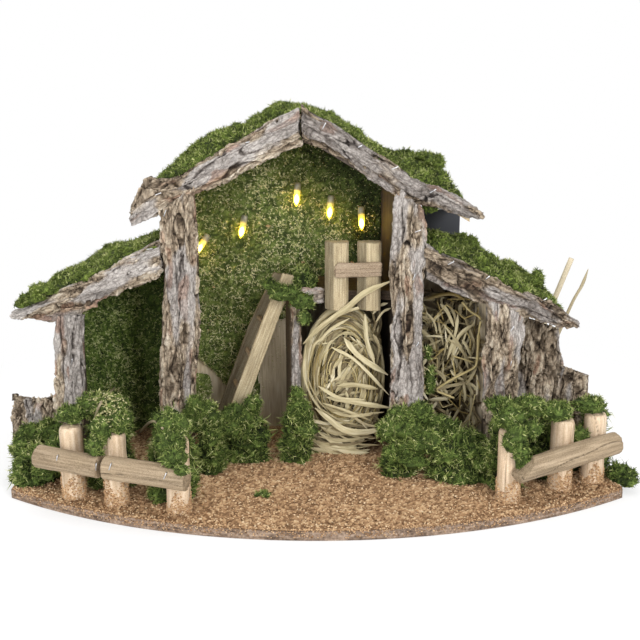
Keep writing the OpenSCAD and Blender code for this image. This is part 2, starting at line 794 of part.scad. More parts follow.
module ladder_sides() {
    foot_cut = ladder_w * tan(ladder_lean);
    color("wheat") on_ladder() for (y = [0, ladder_span - ladder_t])
        upright(y, y + ladder_t) polygon([[0, 0], [0, ladder_len],
            [-ladder_w, ladder_len - 0.1 * ladder_w], [-ladder_w, foot_cut]]);
}

module ladder_rungs() {
    inner = ladder_span - 2 * ladder_t;
    gap = ladder_len / (rungs + 0.6);
    color("tan") on_ladder() for (i = [1:rungs])
        translate([-0.55 * ladder_w, ladder_t + inner, i * gap - 0.2 * gap])
            rotate([90, 0, 0]) cylinder(h = inner, d = rung_d);
}

/* Straw */

nest_x = (loft_x0 + prop_w + mid_r_at(loft_y + nest_d)) / 2;
nest_y = loft_y - 0.12 * nest_d;
nest_z = ground_z + 0.47 * nest_h;

// Waver of the nest's outline round its middle, and depth of its front at a share r of it
function nest_waver(a) = 1 - 0.05 * sin(3 * a);
function nest_front(r) = nest_y + 0.2 * nest_d * r * r;
// Point in the outline's plane at a share r of it, at angle a, never below the ground
function nest_point(r, a, y) =
    [nest_x + nest_w / 2 * r * nest_waver(a) * cos(a), y,
     max(ground_z, nest_z + nest_h / 2 * r * nest_waver(a) * sin(a))];

module straw_nest() {
    n = 24;
    front_shares = [0.95, 0.75, 0.55, 0.3];
    side_shares = [[0.84, 1], [0.96, 0.75], [1, 0.45]];
    rings = concat(
        [for (k = side_shares) [for (j = [0:n - 1])
            nest_point(k[0], 360 * j / n, nest_y + nest_d * k[1])]],
        [for (r = front_shares) [for (j = [0:n - 1])
            nest_point(r, 360 * j / n, nest_front(r))]]);
    color("khaki") loft_rings(rings);
}

// One strip of straw wound outwards over the front of the nest, lying on its dome
wind_steps = 22;
function wind_at(a) =
    let (r = 0.16 + 0.74 * a / (360 * nest_turns))
    nest_point(r, a, nest_front(r - straw_w / nest_w) - straw_t / 2 - fit);

module straw_winding() {
    sides = 6;
    step = 360 / wind_steps;
    rings = [for (i = [0:wind_steps * nest_turns])
        let (a = i * step,
             v = wind_at(a + step / 2) - wind_at(a - step / 2),
             d = v / norm(v),
             side = cross(d, [0, 1, 0]),
             across = side / norm(side))
        [for (j = [0:sides - 1]) let (b = 360 * j / sides)
            wind_at(a) + across * straw_w / 2 * cos(b) - [0, 1, 0] * straw_t / 2 * sin(b)]];
    color("khaki") loft_rings(rings);
}

// Least gap between neighbouring turns of the winding, measured on its middle line
wind_gap = min([for (i = [0:wind_steps * (nest_turns - 1)])
    norm(wind_at(360 * i / wind_steps) - wind_at(360 * (i / wind_steps + 1)))]) - straw_w;
echo(straw_winding_gap = wind_gap);

// Heap of shavings that fills the back of the right lean-to, between its two walls
module straw_fill() {
    ry = 0.3 * house_d;
    y = back_in - ry - fit;
    x0 = mid_r_at(y) + ply;
    x1 = side_r_front - (side_r_front - side_r_rear) * (y - core_back) / (back_in - core_back);
    rx = (x1 - x0) / 2 - wall_moss;
    h = 0.85 * (lean_r_under((x0 + x1) / 2 + rx) - ground_z);
    color("khaki") clump([(x0 + x1) / 2, y], rx, ry, h, ground_z, 2, 40);
}

/* Lamps: places in the tall bay as shares of its width and height, and tilt in degrees */

lamp_shares = [[-0.476, 0.6, 34], [-0.284, 0.655, 13], [-0.026, 0.752, 3],
               [0.131, 0.713, 5], [0.279, 0.68, -4]];
lamp_y = back_in - wall_moss - sleeve_d / 2 - fit;

function lamp_p(k) = [ridge_x + (bay_l + bay_r) * k[0], ground_z + (ridge_z - ground_z) * k[1]];
// Top of a sleeve, where its lead turns back into the wall
function lamp_top(k) = let (p = lamp_p(k), r = sleeve_l - lead_d)
    [p[0] + r * sin(k[2]), p[1] + r * cos(k[2])];

module lamp_holes(d) {
    for (k = lamp_shares) let (p = lamp_top(k))
        translate([p[0], back_out + over, p[1]]) rotate([90, 0, 0])
            cylinder(h = house_d / 2, d = d);
}

module lamp_sleeves() {
    color("lightgray") for (k = lamp_shares) {
        let (p = lamp_p(k), q = lamp_top(k)) {
            difference() {
                union() {
                    translate([p[0], lamp_y, p[1]]) rotate([0, k[2], 0])
                        cylinder(h = sleeve_l, d = sleeve_d);
                    translate([q[0], back_out, q[1]]) rotate([90, 0, 0])
                        cylinder(h = back_out - lamp_y, d = lead_d);
                }
                translate([p[0], lamp_y, p[1]]) rotate([0, k[2], 0])
                    translate([0, 0, -over])
                        cylinder(h = over + bulb_l / 4 + fit, d = bulb_d + 2 * fit);
            }
        }
    }
}

module bulb() {
    rotate_extrude() union() {
        translate([0, -0.4 * bulb_l]) square([bulb_d / 2, 0.65 * bulb_l]);
        polygon([[0, -0.4 * bulb_l], [bulb_d / 2, -0.4 * bulb_l], [0.42 * bulb_d, -0.56 * bulb_l],
                 [0.24 * bulb_d, -0.68 * bulb_l], [0, -0.75 * bulb_l]]);
    }
}

module lamp_bulbs() {
    color("gold") for (k = lamp_shares) let (p = lamp_p(k))
        translate([p[0], lamp_y, p[1]]) rotate([0, k[2], 0]) bulb();
}

/* Battery case: three cells side by side, a sliding lid and a slide switch */

// Metal of the contacts, and how far a leaf contact stands up
contact_t = 0.5;
leaf_rise = 3;
cell_pitch = cell_d + case_wall / 2;
bay_len = cell_l + 5.5 * contact_t + leaf_rise;
bay_h = 3 * cell_pitch + 2 * run_gap;
case_l = case_wall + bay_len + switch_bay;
case_h = bay_h + 2 * case_wall;
lip_t = 0.75 * case_wall;
bay_depth = cell_d + 2 * run_gap;
case_d = case_wall + bay_depth + lid_t + 2 * run_gap + lip_t;
case_x0 = wall_r - 0.6 * core;
case_y0 = back_out + fit;
case_y1 = case_y0 + case_d;
case_z1 = main_under(case_x0 + case_l) - 0.3 * case_wall;
case_z0 = case_z1 - case_h;
bay_x0 = case_x0 + case_wall;
lid_len = case_wall + bay_len;
lid_h = bay_h + case_wall - 2 * run_gap;
lid_y0 = case_y1 - lip_t - run_gap - lid_t;
switch_x = case_x0 + lid_len + switch_bay / 2;
switch_z = case_z0 + case_h / 2;
knob_w = 0.28 * switch_bay;
knob_h = 0.4 * switch_bay;
slider_t = 0.75 * case_wall;
slider_w = 0.6 * switch_bay;
slider_h = 0.75 * switch_bay;
switch_pocket_y = case_y1 - case_wall - slider_t - 2 * run_gap;

module battery_case() {
    color("darkslategray") difference() {
        translate([case_x0, case_y0, case_z0]) cube([case_l, case_d, case_h]);
        translate([bay_x0, case_y0 + case_wall, case_z0 + case_wall])
            cube([bay_len, bay_depth + over / 4, bay_h]);
        // Channel that the lid slides in, open at the left end
        translate([case_x0 - over, lid_y0 - run_gap, case_z0 + case_wall / 2])
            cube([lid_len + run_gap + over, lid_t + 2 * run_gap, case_h - case_wall]);
        // Window between the two lips
        translate([case_x0 - over, case_y1 - lip_t - run_gap, case_z0 + 1.4 * case_wall])
            cube([lid_len + run_gap + over, lip_t + run_gap + over, case_h - 2.8 * case_wall]);
        // Pocket and slot of the switch
        translate([switch_x - slider_w / 2 - run_gap, switch_pocket_y,
                   switch_z - slider_h / 2 - run_gap])
            cube([slider_w + 2 * run_gap, slider_t + 2 * run_gap,
                  slider_h + switch_travel + 2 * run_gap]);
        translate([switch_x - knob_w / 2 - run_gap, switch_pocket_y + slider_t + run_gap,
                   switch_z - knob_h / 2 - run_gap])
            cube([knob_w + 2 * run_gap, case_wall + 2 * over,
                  knob_h + switch_travel + 2 * run_gap]);
    }
}

module battery_lid() {
    ribs = 4;
    rib_w = lid_t / 2;
    color("darkslategray") {
        translate([case_x0, lid_y0, case_z0 + case_wall / 2 + run_gap])
            cube([lid_len, lid_t, lid_h]);
        for (i = [0:ribs - 1])
            translate([case_x0 + (3 + 3 * i) * rib_w, lid_y0 + lid_t, switch_z - bay_h / 5])
                cube([rib_w, lip_t, 2 * bay_h / 5]);
    }
}

module battery_switch() {
    color("black") {
        translate([switch_x - slider_w / 2, switch_pocket_y + run_gap, switch_z - slider_h / 2])
            cube([slider_w, slider_t, slider_h]);
        translate([switch_x - knob_w / 2, switch_pocket_y + run_gap + slider_t,
                   switch_z - knob_h / 2])
            cube([knob_w, case_wall + run_gap + lip_t, knob_h]);
    }
}

module cell() {
    nub = 0.02 * cell_l;
    cylinder(h = cell_l - nub, d = cell_d);
    translate([0, 0, cell_l - nub]) cylinder(h = nub, d = 0.38 * cell_d);
}

cell_y = case_y0 + case_wall + run_gap + cell_d / 2;
function cell_z(i) = switch_z + (i - 1) * cell_pitch;

// Contact plates stand at both ends of the bay; the lid end has the leaf springs
module battery_cells() {
    color("silver") for (i = [0:2])
        translate([bay_x0 + (i == 1 ? 1.5 * contact_t + run_gap
                                    : 1.5 * contact_t + run_gap + leaf_rise)
                   + (i == 1 ? cell_l : 0), cell_y, cell_z(i)])
            rotate([0, i == 1 ? -90 : 90, 0]) cell();
}

module contact_leaf(w) {
    linear_extrude(w) polygon([[0, -w], [contact_t, -w], [leaf_rise, 0], [contact_t, w], [0, w],
        [0, 0.8 * w], [leaf_rise - 1.6 * contact_t, 0], [0, -0.8 * w]]);
}

module battery_contacts() {
    w = 0.3 * cell_d;
    far = bay_x0 + bay_len;
    color("silver") for (i = [0:2]) {
        translate([bay_x0 + (i == 1 ? 0 : contact_t), cell_y, cell_z(i)])
            if (i == 1) translate([0, -w, -w]) cube([contact_t, 2 * w, 2 * w]);
            else translate([0, 0, -w / 2]) contact_leaf(w);
        translate([far - (i == 1 ? contact_t : 0), cell_y, cell_z(i)])
            if (i == 1) rotate([0, 0, 180]) translate([0, 0, -w / 2]) contact_leaf(w);
            else translate([-contact_t, -w, -w]) cube([contact_t, 2 * w, 2 * w]);
    }
}

/* Fences: posts in plan as shares of half the board's width and of its depth */

fence_l_shares = [[-0.778, -0.232], [-0.629, -0.296], [-0.427, -0.35]];
fence_r_shares = [[0.606, -0.264], [0.791, -0.164], [0.911, -0.1]];
fence_l = [for (k = fence_l_shares) [k[0] * base_w / 2, k[1] * base_d]];
fence_r = [for (k = fence_r_shares) [k[0] * base_w / 2, k[1] * base_d]];
rail_off = (fence_post_d + fence_rail_d) / 2 + fit;

module fence_post(p) {
    r = fence_post_d / 2;
    translate([p[0], p[1], base_t]) rotate_extrude() polygon([[0, 0], [r, 0],
        [r, 0.93 * fence_post_h], [0.86 * r, 0.98 * fence_post_h], [0, fence_post_h]]);
}

module fence_posts_left() {
    color("burlywood") for (p = fence_l) fence_post(p);
}

module fence_posts_right() {
    color("burlywood") for (p = fence_r) fence_post(p);
}

// Places a piece drawn upwards at a, on the line towards b, with its x side below
module on_log(a, b) {
    v = b - a;
    translate(a) rotate([0, 90 - atan2(v[2], norm([v[0], v[1]])), atan2(v[1], v[0])]) children();
}

// Straight log between two points, with its own diameter at each end
module log_between(a, b, d0, d1) {
    on_log(a, b) cylinder(h = norm(b - a), d1 = d0, d2 = d1);
}

// Point in front of the line through fence posts a and b, a distance t along it from a
function before(a, b, t, z) =
    let (u = (b - a) / norm(b - a)) [a[0] + u[0] * t + u[1] * rail_off,
                                     a[1] + u[1] * t - u[0] * rail_off, z];

module fence_rails_left() {
    a = before(fence_l[0], fence_l[1], -fence_post_d, ground_z + 0.61 * fence_post_h);
    b = before(fence_l[0], fence_l[1], norm(fence_l[1] - fence_l[0]) - 0.1 * fence_post_d,
               ground_z + 0.6 * fence_post_h);
    c = before(fence_l[1], fence_l[2], 0, ground_z + 0.61 * fence_post_h);
    d = before(fence_l[1], fence_l[2], norm(fence_l[2] - fence_l[1]) + 0.8 * fence_post_d,
               ground_z + 0.56 * fence_post_h);
    color("burlywood") {
        log_between(a, b, fence_rail_d, 0.96 * fence_rail_d);
        log_between(c, d, fence_rail_d, 0.98 * fence_rail_d);
    }
}

// The right rail's left end is sawn off at a long slant that faces up
module fence_rail_right() {
    run = norm(fence_r[2] - fence_r[0]);
    a = before(fence_r[0], fence_r[2], -0.35 * fence_post_d, ground_z + 0.5 * fence_post_h);
    b = before(fence_r[0], fence_r[2], run + 0.35 * fence_post_d,
               ground_z + 0.62 * fence_post_h);
    color("burlywood") difference() {
        log_between(a, b, fence_rail_d, fence_rail_d);
        on_log(a, b) upright(-fence_rail_d, fence_rail_d) polygon([
            [fence_rail_d, -fence_rail_d], [-fence_rail_d, 1.5 * fence_rail_d],
            [-fence_rail_d, -fence_rail_d]]);
    }
}

/* Loose bark chunks beside the outer posts */

stump_h = 0.95 * fence_post_h;

module chunk(p, w, h, seed, slope) {
    y_back = p[1];
    bark_slab([p[0], ground_z], [p[0] + 0.1 * w, ground_z + h], [1, 0], [1, slope], w,
        0.9 * bark_t, [0.44, 0.52, 0.5, 0.54, 0.44], [0.5, 0.46, 0.52, 0.5, 0.4],
        y_back, seed, 1);
}

module stump_barks() {
    left_x = outer_l - bark_outer_w;
    right_x = outer_r + 1.5 * bark_outer_w;
    right_h = lean_r_top(outer_r + lean_eave_r) - ground_z;
    color("sienna") {
        chunk([left_x - 0.65 * bark_outer_w, frame_y + 2.2 * bark_t], 1.05 * bark_outer_w,
              0.92 * stump_h, 10, -0.2);
        chunk([left_x, frame_y + 0.9 * bark_t], bark_outer_w,
              stump_h, 190, 0.3);
        chunk([right_x, core_back + bark_t], 1.5 * bark_outer_w, 0.86 * right_h, 100, -0.3);
        chunk([right_x + 1.6 * bark_outer_w, core_back + bark_t / 2], 0.9 * bark_outer_w,
              1.35 * stump_h, 280, -0.5);
    }
}

/* Moss on the ground */

// Clump on the ground behind a fence post, in the space up to depth y1: its place across, and
// its middle and its reach in depth as shares of that space
module clump_behind(post, y1, dx, middle, reach, rx, h, fullness, seed) {
    y0 = post[1] + fence_post_d / 2;
    clump([post[0] + dx, y0 + middle * (y1 - y0)], rx, reach * (y1 - y0), h, ground_z,
          fullness, seed);
}

module moss_clumps_left() {
    a = fence_l[0];
    b = fence_l[1];
    c = fence_l[2];
    color("olivedrab") {
        clump_behind(a, frame_y, -0.82 * moss_w, 0.46, 0.36, 0.36 * moss_w, 0.42 * moss_h,
                     1, 30);
        clump([b[0] - 0.25 * moss_w, b[1] + 0.78 * moss_w], 0.4 * moss_w, 0.24 * moss_w,
              moss_h, ground_z, 1.4, 90);
        clump([c[0] - 0.16 * moss_w, c[1] + 0.5 * moss_w], 0.36 * moss_w, 0.24 * moss_w,
              1.1 * moss_h, ground_z, 1.3, 150);
    }
}

module moss_clumps_middle() {
    thin = 0.2 * moss_w;
    prop_x = loft_x0 + prop_w / 2;
    color("olivedrab") {
        clump([post_l + 0.5 * moss_w, frame_y - 0.2 * moss_w], 0.22 * moss_w, 0.3 * moss_w,
              0.85 * moss_h, ground_z, 1.2, 60);
        clump([ladder_foot + 0.35 * moss_w, ladder_y0 - 1.1 * thin - fit], 0.42 * moss_w, thin,
              0.66 * moss_h, ground_z, 1.2, 200);
        clump([prop_x, loft_y - 0.6 * bark_t - 1.1 * thin - fit], 0.27 * moss_w, thin,
              0.8 * moss_h, ground_z, 1.3, 260);
        clump([loft_x0 + 0.22 * moss_w, loft_y + 0.32 * moss_w], 0.2 * moss_w, 0.3 * moss_w,
              0.25 * moss_h, loft_z, 1, 310);
    }
}

module moss_clumps_right() {
    a = fence_r[0];
    b = fence_r[1];
    c = fence_r[2];
    mound = 0.33 * moss_w;
    // Front of the bark chunks that stand beside the right wall
    chunk_y = core_back - bark_t / 2;
    color("olivedrab") {
        clump([post_r + 0.9 * moss_w, frame_y - bark_t - 1.05 * mound - fit], 0.54 * moss_w,
              mound, 0.62 * moss_h, ground_z, 1.1, 10);
        clump([post_r - 0.1 * moss_w, frame_y - bark_t - 0.22 * moss_w], 0.34 * moss_w,
              0.2 * moss_w, 0.4 * moss_h, ground_z, 1, 70);
        clump([a[0] + 0.02 * moss_w, a[1] + 0.46 * moss_w], 0.26 * moss_w, 0.22 * moss_w,
              1.08 * moss_h, ground_z, 1.4, 130);
        clump_behind(b, chunk_y, -0.14 * moss_w, 0.36, 0.28, 0.34 * moss_w, 0.8 * moss_h,
                     1.2, 210);
        clump_behind(c, chunk_y, 0.1 * moss_w, 0.42, 0.36, 0.24 * moss_w, 0.9 * moss_h,
                     1.3, 290);
        clump([base_w / 2 + 0.04 * moss_w, -0.1 * base_d], 0.21 * moss_w, 0.18 * moss_w,
              0.2 * moss_h, ground_z, 1, 340);
    }
}

// Dry stalks outside the right wall that lean out past the eave: feet and tips in shares of
// the eave's overhang, heights of the tips in shares of the roof's height, places in depth
module reeds() {
    reed_shares = [[0.24, 0.36, 0.88, 0], [0.57, 0.7, 0.8, 0.12], [0.42, 0.27, 0.61, 0.06]];
    foot_y = frame_y + 0.72 * house_d;
    eave_x = outer_r + lean_eave_r;
    color("khaki") for (k = reed_shares)
        log_between([side_r_front + k[0] * lean_eave_r, foot_y + k[3] * house_d,
                     ground_z + 0.25 * straw_w],
                    [eave_x + k[1] * lean_eave_r, foot_y + k[3] * house_d, k[2] * lean_top_r],
                    straw_w, 0.6 * straw_w);
}

base_board();
ground_granules();
back_wall_main();
back_wall_left();
back_wall_right();
side_wall_left();
side_wall_right();
partition_left();
partition_right();
post_main_left();
post_main_right();
post_outer_left();
post_outer_right();
bark_post_main_left();
bark_post_main_right();
bark_post_outer_left();
bark_post_outer_right();
roof_main_left();
roof_main_right();
roof_lean_left();
roof_lean_right();
rafters();
bark_eave_main_left();
bark_eave_main_right();
bark_eave_lean_left();
bark_eave_lean_right();
moss_roof_main_left();
moss_roof_main_right();
moss_roof_lean_left();
moss_roof_lean_right();
moss_wall_main();
moss_wall_left();
loft_floor();
loft_edge_bark();
loft_side_board();
loft_prop_bark();
loft_stub_posts();
loft_rail();
ladder_sides();
ladder_rungs();
straw_nest();
straw_winding();
straw_fill();
lamp_sleeves();
lamp_bulbs();
battery_case();
battery_lid();
battery_switch();
battery_cells();
battery_contacts();
fence_posts_left();
fence_posts_right();
fence_rails_left();
fence_rail_right();
stump_barks();
moss_clumps_left();
moss_clumps_middle();
moss_clumps_right();
reeds();
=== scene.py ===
import itertools
import math

import bpy
import numpy as np
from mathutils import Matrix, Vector
from mathutils.bvhtree import BVHTree


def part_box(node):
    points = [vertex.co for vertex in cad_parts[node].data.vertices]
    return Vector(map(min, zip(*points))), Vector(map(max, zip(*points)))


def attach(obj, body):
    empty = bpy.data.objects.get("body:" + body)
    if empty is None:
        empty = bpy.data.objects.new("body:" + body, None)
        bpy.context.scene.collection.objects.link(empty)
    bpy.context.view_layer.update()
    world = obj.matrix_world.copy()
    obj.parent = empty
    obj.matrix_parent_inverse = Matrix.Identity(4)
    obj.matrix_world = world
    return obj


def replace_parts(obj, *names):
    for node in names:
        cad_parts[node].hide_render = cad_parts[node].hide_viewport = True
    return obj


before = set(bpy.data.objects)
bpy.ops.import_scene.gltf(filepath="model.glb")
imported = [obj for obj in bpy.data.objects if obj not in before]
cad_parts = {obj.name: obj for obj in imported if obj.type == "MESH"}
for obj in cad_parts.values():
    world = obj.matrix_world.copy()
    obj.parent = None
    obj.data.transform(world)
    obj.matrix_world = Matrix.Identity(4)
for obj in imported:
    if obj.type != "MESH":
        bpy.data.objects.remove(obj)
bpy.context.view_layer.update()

MM = 0.001
UP = np.array([0.0, 0.0, 1.0])
FRONT = np.array([0.0, -1.0, 0.0])
RIGHT = np.array([1.0, 0.0, 0.0])
# Fewer fronds and coarser skins while trying things
DETAIL = 1.0


def many(count):
    """How many of something to make: fewer while trying things."""
    return int(count * DETAIL)


# The photograph's view, for pieces that are placed where it shows them

# The camera's place in mm, how far it looks down, and its frame and focal length in pixels
CAMERA_PLACE = np.array([3.0, -988.0, 420.0])
CAMERA_PITCH = math.radians(14.21)
FRAME_PIXELS = 640
FOCAL_PIXELS = 1027


def pixel_ray(x, y):
    """Direction in which a pixel of the photograph looks."""
    a, b = (x - FRAME_PIXELS / 2) / FOCAL_PIXELS, (FRAME_PIXELS / 2 - y) / FOCAL_PIXELS
    c, s = math.cos(CAMERA_PITCH), math.sin(CAMERA_PITCH)
    return unit(np.array([a, c + b * s, -s + b * c]))


def seen(x, y, depth):
    """Point in mm that a pixel of the photograph shows at a depth along the y axis."""
    ray = pixel_ray(x, y)
    return CAMERA_PLACE + ray * (depth - CAMERA_PLACE[1]) / ray[1]


# Repeatable noise

def lattice(cell, seed):
    """A value from 0 to 1 for each whole-number place."""
    n = (cell * np.array([73856093, 19349663, 83492791])).sum(-1) + seed * 2654435761
    n = ((n ^ (n >> 13)) * 1274126177) & 0xFFFFFFFF
    return ((n ^ (n >> 16)) & 0xFFFF) / 65535


def noise(p, seed):
    """Smooth noise from 0 to 1, one lump a unit."""
    base = np.floor(p).astype(np.int64)
    t = p - base
    t = t * t * (3 - 2 * t)
    total = np.zeros(len(p))
    for corner in itertools.product((0, 1), repeat=3):
        weight = np.prod(np.where(corner, t, 1 - t), axis=1)
        total += weight * lattice(base + np.array(corner), seed)
    return total


def layers(p, seed, count=3):
    """Noise with finer and finer layers, from 0 to 1."""
    parts = [noise(p * 2 ** k, seed + k) / 2 ** k for k in range(count)]
    return sum(parts) / sum(1 / 2 ** k for k in range(count))


def cells(p, seed):
    """Distance to the nearest and to the second cell middle, and a value for the cell."""
    base = np.floor(p).astype(np.int64)
    first, second, own = np.full(len(p), 9.0), np.full(len(p), 9.0), np.zeros(len(p))
    for step in itertools.product((-1, 0, 1), repeat=3):
        cell = base + np.array(step)
        middle = cell + np.stack([lattice(cell, seed + k) for k in range(3)], 1)
        away = np.linalg.norm(middle - p, axis=1)
        closer = away < first
        second = np.where(closer, first, np.minimum(second, away))
        own = np.where(closer, lattice(cell, seed + 3), own)
        first = np.where(closer, away, first)
    return first, second, own


def ease(x, low, high):
    """0 up to low, 1 from high on, and a smooth rise between them."""
    t = np.clip((x - low) / (high - low), 0, 1)
    return t * t * (3 - 2 * t)


def unit(v):
    """The same directions, each of length 1."""
    return v / np.maximum(np.linalg.norm(v, axis=-1, keepdims=True), 1e-9)


# Meshes

def piece(name, points, faces, material, slot, smooth=True, **marks):
    """Makes a piece of points in mm and a list of face tables; marks are point attributes.
    All pieces ride on the stable itself, because the lid and the switch are CAD nodes."""
    mesh = bpy.data.meshes.new(name)
    corners = np.concatenate([f.ravel() for f in faces]).astype(np.int32)
    sizes = np.concatenate([np.full(len(f), f.shape[1]) for f in faces])
    mesh.vertices.add(len(points))
    mesh.vertices.foreach_set("co", (points * MM).astype(np.float32).ravel())
    mesh.loops.add(len(corners))
    mesh.loops.foreach_set("vertex_index", corners)
    mesh.polygons.add(len(sizes))
    starts = np.concatenate([[0], np.cumsum(sizes)[:-1]]).astype(np.int32)
    mesh.polygons.foreach_set("loop_start", starts)
    mesh.polygons.foreach_set("use_smooth", np.full(len(sizes), smooth))
    for mark, values in marks.items():
        vector = values.ndim == 2
        layer = mesh.attributes.new(mark, "FLOAT_VECTOR" if vector else "FLOAT", "POINT")
        layer.data.foreach_set("vector" if vector else "value",
                               values.astype(np.float32).ravel())
    mesh.update(calc_edges=True)
    mesh.validate()
    made = bpy.data.objects.new(name, mesh)
    bpy.context.scene.collection.objects.link(made)
    mesh.materials.append(material)
    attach(made, "stable")
    return made


def merged(parts):
    """Joins (points, [faces], {marks}) parts into one."""
    points, faces, marks, shift = [], [], {}, 0
    for part_points, part_faces, part_marks in parts:
        points.append(part_points)
        faces += [f + shift for f in part_faces]
        for mark, values in part_marks.items():
            marks.setdefault(mark, []).append(values)
        shift += len(part_points)
    return np.concatenate(points), faces, {k: np.concatenate(v) for k, v in marks.items()}


def joined(name, parts, material, slot, smooth=True):
    """Makes one piece of (points, [faces], {marks}) parts."""
    points, faces, marks = merged(parts)
    return piece(name, points, faces, material, slot, smooth, **marks)


def copies(pattern, each, count):
    """Faces of count small meshes in a row, each with so many points and one pattern."""
    return (np.array(pattern)[None] + each * np.arange(count)[:, None, None]).reshape(-1, 3)


def box_mm(node):
    """Lowest and highest corner of a CAD node, in mm."""
    low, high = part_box(node)
    return np.array(low) / MM, np.array(high) / MM


def skinned(node, voxel):
    """Even quads over a CAD node's solids: points in mm, faces and point normals."""
    twin = bpy.data.objects.new("twin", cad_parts[node].data.copy())
    bpy.context.scene.collection.objects.link(twin)
    remesh = twin.modifiers.new("even", "REMESH")
    remesh.mode = "VOXEL"
    remesh.voxel_size = voxel / DETAIL ** 0.5 * MM
    final = twin.evaluated_get(bpy.context.evaluated_depsgraph_get())
    even = final.to_mesh()
    points = np.zeros(len(even.vertices) * 3, np.float32)
    even.vertices.foreach_get("co", points)
    normals = np.zeros(len(even.vertices) * 3, np.float32)
    even.vertex_normals.foreach_get("vector", normals)
    faces = np.zeros(len(even.polygons) * 4, np.int32)
    even.polygons.foreach_get("vertices", faces)
    final.to_mesh_clear()
    bpy.data.objects.remove(twin)
    return (points.reshape(-1, 3).astype(float) / MM, faces.reshape(-1, 4),
            normals.reshape(-1, 3).astype(float))


def solids(points, faces):
    """For each point, the number of the separate solid that it belongs to."""
    label = np.arange(len(points))
    while True:
        low = label[faces].min(1)
        new = label.copy()
        np.minimum.at(new, faces.ravel(), np.repeat(low, faces.shape[1]))
        new = new[new]
        if (new == label).all():
            return np.unique(label, return_inverse=True)[1]
        label = new


def own_axes(points):
    """A solid's middle and its own axes: along it, across it, and through it."""
    middle = (points.min(0) + points.max(0)) / 2
    along = np.linalg.svd(points - points.mean(0), full_matrices=False)[2][0]
    along = along if along[np.abs(along).argmax()] > 0 else -along
    across = unit(np.cross(along, FRONT if abs(along @ FRONT) < 0.8 else UP))
    return middle, np.stack([along, across, np.cross(along, across)], 1)


def tube(path, radius, sides, squash=1.0):
    """Closed round bar along a path of points; radius is one number or one a point."""
    path = np.asarray(path, float)
    radius = np.broadcast_to(radius, len(path))[:, None, None]
    ahead = unit(np.gradient(path, axis=0))
    side = unit(np.cross(ahead, UP + 0.01))
    other = np.cross(ahead, side) * squash
    angle = np.linspace(0, 2 * np.pi, sides, endpoint=False)[None, :, None]
    rings = path[:, None] + radius * (side[:, None] * np.cos(angle)
                                      + other[:, None] * np.sin(angle))
    return lofted(rings)


def lofted(rings):
    """Closed solid through rings, an array of rings by points by 3."""
    count, sides = rings.shape[:2]
    at = np.arange(count * sides).reshape(count, sides)
    turned = np.roll(at, -1, axis=1)
    walls = np.stack([at[:-1], turned[:-1], turned[1:], at[1:]], -1).reshape(-1, 4)
    return rings.reshape(-1, 3), [walls, at[:1, ::-1], at[-1:]]


def ribbon(path, face, width, thick, fold):
    """Thin strip along a path, folded a little down its middle; face is the way it looks."""
    ahead = unit(np.gradient(path, axis=0))
    side = unit(np.cross(ahead, face))
    out = np.cross(side, ahead)
    width = np.broadcast_to(width, len(path))[:, None]
    rise = out * width * fold
    lift = out * thick / 2
    rings = np.stack([path - side * width / 2 - lift, path + rise - lift,
                      path + side * width / 2 - lift, path + side * width / 2 + lift,
                      path + rise + lift, path - side * width / 2 + lift], 1)
    return lofted(rings)


def spline(points, count):
    """Smooth line through a few points."""
    points = np.asarray(points, float)
    ends = np.concatenate([[2 * points[0] - points[1]], points, [2 * points[-1] - points[-2]]])
    s = np.linspace(0, len(points) - 1 - 1e-6, count)
    i = s.astype(int)
    t = (s - i)[:, None]
    a, b, c, d = ends[i], ends[i + 1], ends[i + 2], ends[i + 3]
    return 0.5 * (2 * b + (c - a) * t + (2 * a - 5 * b + 4 * c - d) * t ** 2
                  + (3 * b - a - 3 * c + d) * t ** 3)


# Materials

# A Mix node's sockets: its share, its two numbers, its two colours, and the mixed colour
SHARE, NUMBER_A, NUMBER_B, COLOUR_A, COLOUR_B, MIXED = 0, 2, 3, 6, 7, 2


def rgb(code):
    """Linear colour of an sRGB hex value."""
    parts = [int(code[i:i + 2], 16) / 255 for i in (0, 2, 4)]
    return [c / 12.92 if c <= 0.04045 else ((c + 0.055) / 1.055) ** 2.4 for c in parts] + [1]


def add(tree, kind, inputs=None, stops=None, **settings):
    """Adds a node. inputs maps a socket's name or number to its value or to the socket that
    feeds it, and stops are a ramp's places and colours."""
    made = tree.nodes.new(kind)
    for name, value in settings.items():
        setattr(made, name, value)
    for key, value in (inputs or {}).items():
        if isinstance(value, bpy.types.NodeSocket):
            tree.links.new(value, made.inputs[key])
        else:
            made.inputs[key].default_value = value
    for place, (at, colour) in enumerate(stops or []):
        if place >= len(made.color_ramp.elements):
            made.color_ramp.elements.new(at)
        made.color_ramp.elements[place].position = at
        made.color_ramp.elements[place].color = rgb(colour)
    return made


def surface(name, roughness, specular=0.5):
    """An empty material: its tree, its shader and itself."""
    material = bpy.data.materials.new(name)
    material.use_nodes = True
    shader = material.node_tree.nodes["Principled BSDF"]
    shader.inputs["Roughness"].default_value = roughness
    shader.inputs["Specular IOR Level"].default_value = specular
    return material.node_tree, shader, material


def per_mm(size):
    """Scale of a pattern that repeats every so many mm, for Object coordinates, which are in
    metres. The grain attribute is in mm, so a pattern on it has one over its size."""
    return 1 / (size * MM)


